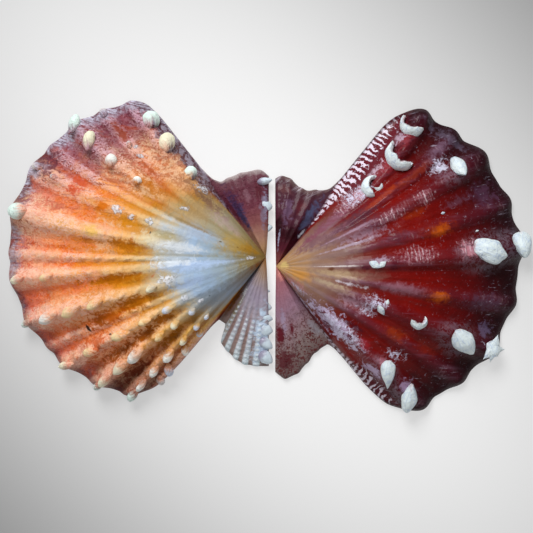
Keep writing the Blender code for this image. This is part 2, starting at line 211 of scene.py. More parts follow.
def marginReach(valve, angle):
    crest = max(rib[2] for rib in valve["ribs"])
    lobe = valve["lobe"] * ribShare(valve, angle)[0] / crest
    return smoothThrough(angle, valve["outline"]) + lobe


def plan(valve, angle, growth):
    reach = marginReach(valve, angle) * growth
    bend = np.interp(angle, *np.array(valve["bends"]).T)
    turned = np.radians(angle + bend * (1 - growth) ** law["driftPower"])
    hingeFrom = law["hingeFrom"]
    hinge = np.clip((np.abs(angle) - hingeFrom) / (90 - hingeFrom), 0, 1) ** 2
    shift = valve["hingeShift"] * hinge * (1 - (1 - growth) ** 3)
    away = valve["side"] * (np.cos(turned) * reach - shift)
    x, y = valve["umbo"]
    return x + away, y + np.sin(turned) * reach


def flankShare(valve, angle):
    low, high = valve["flanks"]
    return np.where(angle < 0, angle / low, angle / high)


def vault(valve, angle, growth, inset=1.0):
    share = flankShare(valve, angle) * inset
    broad, steep = law["discPowers"]
    disc = (1 - np.clip(share, 0, 1) ** broad) ** steep
    ears = law["earSwell"] * np.clip((share - 1) / law["earStep"], 0, 1)
    inwards = np.log(1 / np.maximum(growth, 1e-6))
    section = growth * np.sin(np.minimum(law["spiral"] * inwards, np.pi)) / law["vaultPeak"]
    return valve["vault"] * np.maximum(disc, ears) * section


def wall(growth):
    return law["hingeWall"] + (law["rimWall"] - law["hingeWall"]) * growth


def smoothStep(x, low, high):
    t = np.clip((x - low) / (high - low), 0, 1)
    return t * t * (3 - 2 * t)


def outerHeight(valve, angle, growth):
    ribs = ribShare(valve, angle)[0] * growth ** law["ribGrowth"]
    onDisc = np.abs(flankShare(valve, angle)) < 1
    ribs = ribs * np.where(onDisc, smoothStep(growth, *valve["ribRise"]), 1)
    return wall(growth) + vault(valve, angle, growth) + ribs + swelling(valve, angle, growth)


def swelling(valve, angle, growth):
    # the soft mounds that scales and knobs stand on: (ray, growth, radius, height, east,
    # north, how much longer the mound is towards the umbo)
    x, y = plan(valve, angle, growth)
    total = np.zeros_like(x)
    for ray, at, radius, height, east, north, behind in valve["swellings"]:
        middleX, middleY = plan(valve, np.array([ray]), np.array([at]))
        innerX, innerY = plan(valve, np.array([ray]), np.array([at - 0.02]))
        step = np.hypot(middleX - innerX, middleY - innerY)
        aheadX, aheadY = (middleX - innerX) / step, (middleY - innerY) / step
        offX, offY = x - middleX - east, y - middleY - north
        along, across = offX * aheadX + offY * aheadY, offY * aheadX - offX * aheadY
        along = np.where(along < 0, along / behind, along)
        total += height * np.exp(-(along ** 2 + across ** 2) / radius ** 2)
    return total


def innerHeight(valve, angle, growth):
    roof = wall(growth) + vault(valve, angle, growth, law["flankInset"]) - law["shellWall"]
    share = flankShare(valve, angle) * law["flankInset"]
    folds = law["innerFolds"] * ribShare(valve, angle)[0] * growth ** 3
    folds = folds * np.clip((1 - share) / 0.08, 0, 1)
    return np.where(share < 1, np.maximum(roof, 0.0) + folds, 0.0)


def fineRelief(valve, angle, growth):
    # riblets, growth rests and slight unevenness, on the disc and fainter on the ears
    disc = np.clip((1 - flankShare(valve, angle)) / 0.1, 0, 1)
    x, y = plan(valve, angle, growth)
    uneven, riblets = np.zeros_like(growth), np.zeros_like(growth)
    seed, size, (fine, broken) = valve["seed"], law["unevenSize"], law["ribletSize"]
    for i, (a, b, ray, out) in enumerate(zip(x, y, angle, growth)):
        uneven[i] = noise.fractal(Vector((a * size, b * size, seed)), 0.9, 2.1, 4)
        riblets[i] = noise.noise(Vector((ray * fine, out * broken, seed)))
    rests = np.zeros_like(growth)
    for rest in valve["rests"]:
        wavy = rest + 0.008 * np.sin(angle * 0.35 + rest * 40) + 0.003 * np.sin(angle * 1.3)
        step = (growth - wavy) / law["restWidth"]
        rests += np.where(step > 0, np.exp(-step * 1.3), np.exp(step * 5))
    relief = uneven * valve["unevenness"] * np.clip(growth * 4, 0, 1)
    relief += riblets * valve["riblets"] * smoothStep(growth, 0.2, 0.8) * (0.35 + 0.65 * disc)
    relief += law["knotHeight"] * knots(valve, angle, growth)
    relief += law["beadHeight"] * beading(valve, angle, growth)
    return relief + valve["restHeight"] * rests * disc


def knots(valve, angle, growth):
    # soft knots strung along the ribs below the middle, 0 between them and 1 on their tops
    if not valve["knots"]:
        return np.zeros_like(growth)
    reach = marginReach(valve, angle) * growth
    wave = np.cos(2 * np.pi * reach / valve["knots"] + 0.3 * angle + 1.5 * np.sin(0.4 * angle))
    disc = np.clip((16 - angle) / 12, 0, 1) * np.clip((angle + 51) / 2, 0, 1)
    knot = smoothStep(wave, -0.2, 0.9) * ribShare(valve, angle)[1] ** 2
    return knot * disc * smoothStep(growth, 0.40, 0.55) * (1 - smoothStep(growth, 0.94, 1.0))


def beading(valve, angle, growth):
    # beads along the riblets of the byssal ear, 0 between them and 1 on their tops
    if not valve["beads"]:
        return np.zeros_like(growth)
    reach = marginReach(valve, angle) * growth
    wave = 0.5 + 0.5 * np.cos(2 * np.pi * reach / valve["beads"] + 2.1 * np.round(angle / 6))
    ear = np.clip((-57 - angle) / 3, 0, 1) * np.clip((90 + angle) / 3, 0, 1)
    return wave * ear * smoothStep(growth, 0.46, 0.66) * ribShare(valve, angle)[1]


def roundedEdges(valve, angle, growth, bottom, top):
    # the rim and the hinge edge are rounded over, so the shell has no knife edges
    toRim = np.clip((growth - law["rimRound"]) / (1 - law["rimRound"]), 0, 1)
    top = bottom + (top - bottom) * np.sqrt(1 - law["rimDrop"] * toRim ** 2)
    toHinge = marginReach(valve, angle) * growth * np.cos(np.radians(angle))
    return top - law["edgeDrop"] * np.clip(1 - toHinge / law["edgeRound"], 0, 1) ** 2


fields = ("ray", "growth", "reach", "crest", "under", "tip", "tone", "halo", "bead")


def shellMesh(valve):
    # one grid runs from the umbo over the outside to the margin, and back inside
    outer, inner, columns = law["outerRows"], law["innerRows"], law["columns"]
    bm = bmesh.new()
    bmesh.ops.create_grid(bm, x_segments=columns, y_segments=outer + inner, size=1)
    mesh = bpy.data.meshes.new(valve["node"])
    bm.to_mesh(mesh)
    bm.free()
    flat = np.zeros(len(mesh.vertices) * 3, np.float32)
    mesh.vertices.foreach_get("co", flat)
    grid = (flat.reshape(-1, 3) + 1) / 2
    column = np.rint(grid[:, 0] * columns).astype(int)
    row = np.rint(grid[:, 1] * (outer + inner)).astype(int)

    fine = np.linspace(-90, 90, law["rimSamples"])
    x, y = plan(valve, fine, np.ones_like(fine))
    run = np.concatenate([[0], np.cumsum(np.hypot(np.diff(x), np.diff(y)))])
    rays = np.interp(np.linspace(0, run[-1], columns + 1), run, fine)
    growths = np.concatenate([
        np.linspace(0, 1, outer + 1) ** 1.12,
        (1 - np.linspace(0, 1, inner + 1)[1:]) ** 1.1,
    ])
    angle, growth = rays[column], growths[row]
    under = (row > outer).astype(float)
    bottom = innerHeight(valve, angle, growth)
    top = outerHeight(valve, angle, growth) + fineRelief(valve, angle, growth)
    top = roundedEdges(valve, angle, growth, bottom, top)
    x, y = plan(valve, angle, growth)
    z = np.where(under > 0, bottom, top)
    places = np.stack([x, y, z], axis=-1) * mm
    mesh.vertices.foreach_set("co", places.ravel())
    values = {
        "ray": angle, "growth": growth, "reach": marginReach(valve, angle) * growth,
        "crest": ribShare(valve, angle)[1], "under": under, "bead": beading(valve, angle, growth),
        "halo": np.clip(swelling(valve, angle, growth) / 0.45
                        + 0.75 * knots(valve, angle, growth), 0, 1),
    }
    for name in fields:
        attribute = mesh.attributes.new(name, "FLOAT", "POINT")
        value = values.get(name, np.zeros_like(angle))
        attribute.data.foreach_set("value", np.asarray(value, np.float32))

    bm = bmesh.new()
    bm.from_mesh(mesh)
    bmesh.ops.remove_doubles(bm, verts=bm.verts, dist=1e-6)
    bmesh.ops.dissolve_degenerate(bm, edges=bm.edges, dist=1e-6)
    rim = [edge for edge in bm.edges if edge.is_boundary]
    filled = bmesh.ops.holes_fill(bm, edges=rim, sides=0)["faces"]
    bmesh.ops.triangulate(bm, faces=filled)
    finishBmesh(bm, mesh)
    return mesh


def finishBmesh(bm, mesh):
    # faces outwards, and a count of what is left open
    bmesh.ops.recalc_face_normals(bm, faces=bm.faces)
    if bm.calc_volume(signed=True) < 0:
        bmesh.ops.reverse_faces(bm, faces=bm.faces)
    bm.to_mesh(mesh)
    print("  ", mesh.name, len(bm.faces), "faces,",
          sum(not edge.is_manifold for edge in bm.edges), "open edges")
    bm.free()


def addPiece(name, mesh, material, replaces=None):
    mesh.shade_smooth()
    mesh.set_sharp_from_angle(angle=math.radians(60))
    mesh.materials.clear()
    mesh.materials.append(material)
    piece = bpy.data.objects.new(name, mesh)
    bpy.context.scene.collection.objects.link(piece)
    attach(piece, "root")
    if replaces:
        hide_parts(replaces)
    return piece


def surfaceFrame(valve, angle, growth, heading):
    # a frame on the shell: Z off it, Y towards a compass heading as seen from above
    low = max(growth - 0.01, 0.02)
    angles = np.array([angle, angle, angle, angle - 0.5, angle + 0.5])
    growths = np.minimum(np.array([growth, low, low + 0.02, growth, growth]), 1.0)
    x, y = plan(valve, angles, growths)
    z = outerHeight(valve, angles, growths)
    points = [Vector(p) * mm for p in np.stack([x, y, z], axis=-1)]
    normal = (points[4] - points[3]).cross(points[2] - points[1]).normalized()
    if normal.z < 0:
        normal.negate()
    ahead = Vector((math.cos(math.radians(heading)), math.sin(math.radians(heading)), 0))
    ahead = (ahead - normal * ahead.dot(normal)).normalized()
    turn = Matrix((ahead.cross(normal), ahead, normal)).transposed().to_4x4()
    turn.translation = points[0]
    return turn


def srgb(colour):
    # 0-255 values as they are read on screen, to the linear values that Blender mixes
    c = np.array(colour[:3]) / 255
    c = np.where(c <= 0.04045, c / 12.92, ((c + 0.055) / 1.055) ** 2.4)
    return (*c, 1.0)


work = {"tree": None}        # the node tree that is being built


def newNode(kind, **settings):
    made = work["tree"].nodes.new(kind)
    for name, value in settings.items():
        setattr(made, name, value)
    return made


def feed(socket, value):
    if isinstance(value, bpy.types.NodeSocket):
        work["tree"].links.new(value, socket)
    else:
        socket.default_value = value


def feedAll(made, *values):
    for socket, value in zip(made.inputs, values):
        feed(socket, value)
    return made.outputs[0]


def calc(operation, *values):
    return feedAll(newNode("ShaderNodeMath", operation=operation), *values)


def times(product, *values):
    for value in values:
        product = calc("MULTIPLY", product, value)
    return product


def plus(total, *terms):
    # plus(a, b) is a + b, and plus(a, b, 0.5, c, 0.2) is a + 0.5 b + 0.2 c
    shares = terms[1::2] or (1.0,)
    for value, share in zip(terms[::2], shares):
        total = calc("MULTIPLY_ADD", value, share, total)
    return total


def rangeOf(value, low, high, toLow=0.0, toHigh=1.0):
    made = newNode("ShaderNodeMapRange", interpolation_type="SMOOTHSTEP")
    return feedAll(made, value, low, high, toLow, toHigh)


def blendColour(factor, a, b, mode="MIX"):
    made = newNode("ShaderNodeMix", data_type="RGBA", blend_type=mode)
    for socket, value in ((0, factor), (6, a), (7, b)):
        feed(made.inputs[socket], value)
    return made.outputs[2]


def lay(colour, *coats):
    # lays pigments over a colour, one after the other, each as (mask, pigment)
    for mask, pigment in coats:
        colour = blendColour(mask, colour, srgb(pigment))
    return colour


def colourRamp(value, stops):
    made = newNode("ShaderNodeValToRGB")
    feed(made.inputs[0], value)
    marks = made.color_ramp.elements
    while len(marks) < len(stops):
        marks.new(0.5)
    for mark, (position, colour) in zip(marks, stops):
        mark.position = position
        mark.color = srgb(colour)
    return made.outputs[0]


def noiseOf(vector, scale, detail=3.0, roughness=0.55, distortion=0.0):
    made = newNode("ShaderNodeTexNoise")
    for label, value in (("Vector", vector), ("Scale", scale), ("Detail", detail),
                         ("Roughness", roughness), ("Distortion", distortion)):
        feed(made.inputs[label], value)
    return made.outputs[0]


def vectorOf(x, y=0.0, z=0.0):
    return feedAll(newNode("ShaderNodeCombineXYZ"), x, y, z)


def newGroup(name, result, **inputs):
    # a node group with one output; an input without a value is a vector
    group = bpy.data.node_groups.new(name, "ShaderNodeTree")
    for label, value in inputs.items():
        kind = "NodeSocketVector" if value is None else "NodeSocketFloat"
        socket = group.interface.new_socket(label, in_out="INPUT", socket_type=kind)
        if value is not None:
            socket.default_value = value
    group.interface.new_socket(result, in_out="OUTPUT", socket_type="NodeSocketFloat")
    work["tree"] = group
    return group, newNode("NodeGroupInput").outputs, newNode("NodeGroupOutput").inputs[0]


def useGroup(group, label="", **values):
    made = newNode("ShaderNodeGroup", node_tree=group, label=label)
    for name, value in values.items():
        feed(made.inputs[name], value)
    return made.outputs[0]


def alongRays(group, at, **values):
    return useGroup(group, Ray=at["ray"], Reach=at["reach"], **values)


def patchGroup():
    # a ragged oval patch of pigment, placed by ray and growth
    group, given, mask = newGroup(
        "shellPatch", "Mask", Ray=0.0, Growth=0.0, Wobble=0.5, RayAt=0.0, GrowthAt=0.5,
        RaySize=5.0, GrowthSize=0.1, Ragged=0.6, Soft=0.5)
    away = [calc("DIVIDE", calc("SUBTRACT", given[way], given[way + "At"]), given[way + "Size"])
            for way in ("Ray", "Growth")]
    far = calc("SQRT", plus(*(times(part, part) for part in away)))
    far = plus(far, times(plus(given["Wobble"], -0.5), given["Ragged"]), 3.0)
    feed(mask, rangeOf(far, calc("SUBTRACT", 1.0, given["Soft"]), 1.0, 1.0, 0.0))
    return group


def laceGroup():
    # broken white lace: torn flakes with a fine net between them
    group, given, mask = newGroup("whiteLace", "Mask", Place=None, Size=1.0, Cover=0.5, Net=0.65)
    scale = calc("DIVIDE", 1.0, given["Size"])
    flakes = noiseOf(given["Place"], scale, 5.0, 0.62, 0.9)
    net = newNode("ShaderNodeTexVoronoi", feature="DISTANCE_TO_EDGE")
    feed(net.inputs["Vector"], given["Place"])
    feed(net.inputs["Scale"], times(scale, 1.8))
    strands = rangeOf(net.outputs["Distance"], 0.02, 0.16, 1.0, 0.0)
    level = plus(0.72, given["Cover"], -0.44)
    torn = rangeOf(flakes, level, plus(level, 0.07))
    near = rangeOf(flakes, plus(level, -0.10), level)
    feed(mask, calc("MAXIMUM", torn, times(strands, near, given["Net"])))
    return group


def ticksGroup():
    # fine growth lines that run across the ribs, broken along their length
    group, given, lines = newGroup(
        "growthTicks", "Lines", Ray=0.0, Reach=0.0, Spacing=0.6, Waver=0.6)
    place = vectorOf(times(given["Ray"], 0.22), given["Reach"])
    waver = times(noiseOf(place, 0.8, 3.0), given["Waver"], 4.0)
    turns = plus(calc("DIVIDE", given["Reach"], given["Spacing"]), waver)
    wave = calc("SINE", times(turns, 2 * math.pi))
    broken = rangeOf(noiseOf(place, 1.7, 2.0), 0.38, 0.62)
    feed(lines, times(rangeOf(wave, 0.0, 0.9), broken))
    return group


def rayArc(given):
    # how far a point is round its valve, in mm, a little more near the umbo
    return times(given["Ray"], math.pi / 180, plus(given["Reach"], 6.0))


def streaksGroup():
    # streaks that run along the growth rays, 0 to 1
    group, given, streaks = newGroup(
        "rayStreaks", "Streaks", Ray=0.0, Reach=0.0, Fineness=1.0, Run=0.2)
    place = vectorOf(times(rayArc(given), given["Fineness"]), times(given["Reach"], given["Run"]))
    feed(streaks, noiseOf(place, 1.0, 4.0, 0.6, 0.3))
    return group


def fibreGroup():
    # hair-fine fibres that cross each other on their way along the rays
    group, given, mask = newGroup(
        "shellFibres", "Mask", Ray=0.0, Reach=0.0, Fineness=1.2, Run=0.35, Slant=0.45)
    arc, masks = rayArc(given), []
    for turn, layer in ((1.0, 0.0), (-1.0, 7.3)):
        across = plus(arc, times(given["Reach"], given["Slant"]), turn)
        place = vectorOf(times(across, given["Fineness"]), times(given["Reach"], given["Run"]),
                         layer)
        level = plus(noiseOf(place, 1.0, 3.0, 0.6, 0.5), -0.5)
        masks.append(rangeOf(calc("ABSOLUTE", level), 0.012, 0.065, 1.0, 0.0))
    feed(mask, calc("MAXIMUM", *masks))
    return group


shellPatch, whiteLace = patchGroup(), laceGroup()
growthTicks, rayStreaks, shellFibres = ticksGroup(), streaksGroup(), fibreGroup()


def startMaterial(name):
    # a new material, its shader and the place on the piece in mm
    material = bpy.data.materials.new(name)
    material.use_nodes = True
    work["tree"] = material.node_tree
    work["tree"].nodes.clear()
    shader = newNode("ShaderNodeBsdfPrincipled")
    feed(newNode("ShaderNodeOutputMaterial").inputs[0], shader.outputs[0])
    toMm = newNode("ShaderNodeVectorMath", operation="SCALE")
    feed(toMm.inputs[0], newNode("ShaderNodeTexCoord").outputs["Object"])
    feed(toMm.inputs["Scale"], 1 / mm)
    return material, shader, toMm.outputs[0]


def finishMaterial(shader, look, colour, fine, height):
    feed(shader.inputs["Base Color"], colour)
    feed(shader.inputs["Roughness"], rangeOf(fine, 0.3, 0.7, *look["roughness"]))
    bump = newNode("ShaderNodeBump")
    feed(bump.inputs["Distance"], look["bump"])
    feed(bump.inputs["Height"], height)
    feed(shader.inputs["Normal"], bump.outputs[0])
    for label, value in look["gloss"].items():
        feed(shader.inputs[label], value)


def shellInputs():
    return {name: newNode("ShaderNodeAttribute", attribute_name=name).outputs["Fac"]
            for name in fields}


def patchMask(at, rayAt, growthAt, raySize, growthSize, ragged, soft, label=""):
    return useGroup(
        shellPatch, label, Ray=at["ray"], Growth=at["growth"], Wobble=at["fine"], RayAt=rayAt,
        GrowthAt=growthAt, RaySize=raySize, GrowthSize=growthSize, Ragged=ragged, Soft=soft)


def brush(colour, patches, at):
    # lays patches of pigment over a colour, one after the other, under their names
    for name, pigment, strength, *patch in patches:
        colour = lay(colour, (times(patchMask(at, *patch, name), strength), pigment))
    return colour


def mostOf(cover, patches, at, strength=1.0):
    # the strongest of a cover and some patches
    for patch in patches:
        cover = calc("MAXIMUM", cover, times(patchMask(at, *patch), strength))
    return cover


def shellPlace(place, look):
    # the fields of a shell as its pigments meet them, moved about by noise
    at = shellInputs()
    at["coarse"] = noiseOf(place, 0.28, 4.0, 0.6, 0.4)
    at["fine"] = noiseOf(place, 1.1, 5.0, 0.65, 0.6)
    at["grain"] = noiseOf(place, 3.4, 3.0, 0.6)
    shift, shiftFine = plus(at["coarse"], -0.5), plus(at["fine"], -0.5)
    at["shift"], at["shiftFine"] = shift, shiftFine
    broad, small = look["growthDrift"]
    at["grownTo"] = plus(at["growth"], shift, broad, shiftFine, small)
    broad, small = look["rayDrift"]
    at["rayTo"] = plus(at["ray"], shift, broad, shiftFine, small)
    fineness, run, *comeIn = look["streaks"]
    streaks = plus(alongRays(rayStreaks, at, Fineness=fineness, Run=run), -0.5)
    at["streaks"] = times(streaks, rangeOf(at["growth"], *comeIn, 1.0))
    small, streaky, low, high = look["crestEdge"]
    crest = rangeOf(plus(at["crest"], shiftFine, small, at["streaks"], streaky), low, high)
    start, end, share, base = look["ribsComeIn"]
    at["grown"] = rangeOf(at["growth"], start, end)
    at["onCrest"] = plus(times(crest, rangeOf(at["grown"], 0.0, 1.0, share, 1.0)),
                         rangeOf(at["grown"], 0.0, 1.0, base, 0.0))
    return at


def hollowSide(colour, at, look):
    hollow = blendColour(rangeOf(at["grownTo"], *look["hollowEdge"]), srgb(look["inside"]),
                         srgb(look["insideRim"]))
    return blendColour(rangeOf(at["under"], 0.3, 0.9), colour, hollow)


orangeScales = {
    # one row to a rib: (ray, compass heading, how much of a scale is pale, scales), and each
    # scale is (growth, width, length in mm, tone)
    "rows": [
        (51, 75, 0.8, [(0.55, 2.6, 2.3, "mint"), (0.74, 3.3, 3.4, "cream"),
                       (0.88, 3.4, 3.2, "mint")]),
        (42, 110, 0.5, [(0.79, 1.2, 1.4, "grey"), (0.98, 1.6, 1.8, "grey")]),
        (35, 80, 0.75, [(0.62, 1.8, 1.4, "white"), (0.76, 2.4, 2.1, "white"),
                        (0.89, 2.3, 3.3, "cream"), (0.99, 2.3, 3.2, "mint")]),
        (22, 155, 0.4, [(0.89, 1.2, 1.4, "grey"), (0.97, 1.8, 2.1, "grey")]),
        (11, 180, 0.8, [(0.96, 3.3, 3.2, "mint")]),
        (-5, -163, 0.55, [(0.84, 1.6, 2.6, "tan"), (0.96, 1.8, 3.0, "cream")]),
        (-15.5, -148, 0.55, [(0.46, 1.4, 2.0, "cream"), (0.69, 1.9, 3.0, "tan"),
                             (0.79, 2.2, 3.7, "tan"), (0.89, 2.4, 3.8, "white"),
                             (0.99, 1.6, 2.4, "mint")]),
        (-28.5, -151, 0.55, [(0.47, 1.4, 2.0, "lilac"), (0.58, 1.5, 2.2, "tan"),
                             (0.70, 2.0, 3.4, "tan"), (0.85, 1.9, 3.0, "tan"),
                             (0.98, 1.7, 3.0, "cream")]),
        (-37.5, -123, 0.55, [(0.42, 1.3, 1.5, "lilac"), (0.52, 1.5, 1.8, "cream"),
                             (0.61, 1.5, 2.1, "tan"), (0.75, 2.2, 3.7, "white"),
                             (0.84, 2.2, 3.8, "cream"), (0.94, 2.0, 3.4, "cream"),
                             (0.99, 1.5, 2.3, "mint")]),
        (-46, -107, 0.65, [(0.43, 1.0, 1.2, "lilac"), (0.50, 1.2, 1.5, "lilac"),
                           (0.60, 1.4, 1.9, "cream"), (0.71, 1.8, 2.7, "white"),
                           (0.82, 1.6, 2.4, "white"), (0.92, 1.5, 2.7, "white"),
                           (0.99, 1.9, 2.7, "mint")]),
        (-49.5, -72, 0.65, [(0.58, 1.4, 1.6, "lilac"), (0.71, 1.6, 2.3, "white"),
                            (0.86, 1.8, 2.7, "lilac"), (0.94, 1.6, 2.1, "grey")]),
    ],
    # low mounds that bear no pale tip: (ray, growth, radius, height)
    "mounds": [
        (10.5, 0.47, 1.2, 0.22), (10.5, 0.67, 1.5, 0.38), (10.5, 0.78, 1.7, 0.34),
        (-5, 0.60, 1.1, 0.22), (-5, 0.75, 1.1, 0.28), (-15.5, 0.59, 1.0, 0.26),
        (-28, 0.77, 1.2, 0.36), (21, 0.56, 1.2, 0.16), (21, 0.70, 1.3, 0.20),
        (35, 0.50, 1.0, 0.15), (42, 0.88, 1.2, 0.20), (28, 0.85, 1.2, 0.16), (1, 0.82, 1.0, 0.16),
    ],
    "broad": 0.95,           # width of all scales at once
    "point": 0.5,            # how far the end of a scale narrows
    "moundWidth": 0.80,      # radius of the swelling under a scale, as a share of its width
    "moundHeight": 0.42,
    "moundBehind": 2.2,      # the swelling is a ramp, so much longer towards the umbo
    "height": 0.46,          # half height of a scale as a share of its width
    "taper": 0.38,
    "raised": 0.16,
    "lumps": 0.10,
    "sides": (22, 15),
    "spread": 80,            # mm of a scale's length that stand for the whole growth
    "reach": 38,             # mm from the umbo to the margin, for the pattern on a scale
    "tones": {               # (place on the tone ramp, colour)
        "tan": (0.0, (255, 228, 176)), "grey": (0.25, (226, 220, 218)),
        "cream": (0.5, (255, 250, 220)), "white": (0.7, (255, 255, 248)),
        "mint": (0.85, (234, 255, 246)), "lilac": (1.0, (220, 230, 248)),
    },
}
for ray, _heading, _pale, row in orangeScales["rows"]:
    for at, width, _length, _tone in row:
        orangeValve["swellings"].append(
            (ray, at - 0.010, width * orangeScales["moundWidth"],
             width * orangeScales["moundHeight"], 0, 0, orangeScales["moundBehind"]))
for ray, at, radius, height in orangeScales["mounds"]:
    orangeValve["swellings"].append((ray, at, radius, height, 0, 0, 1.5))

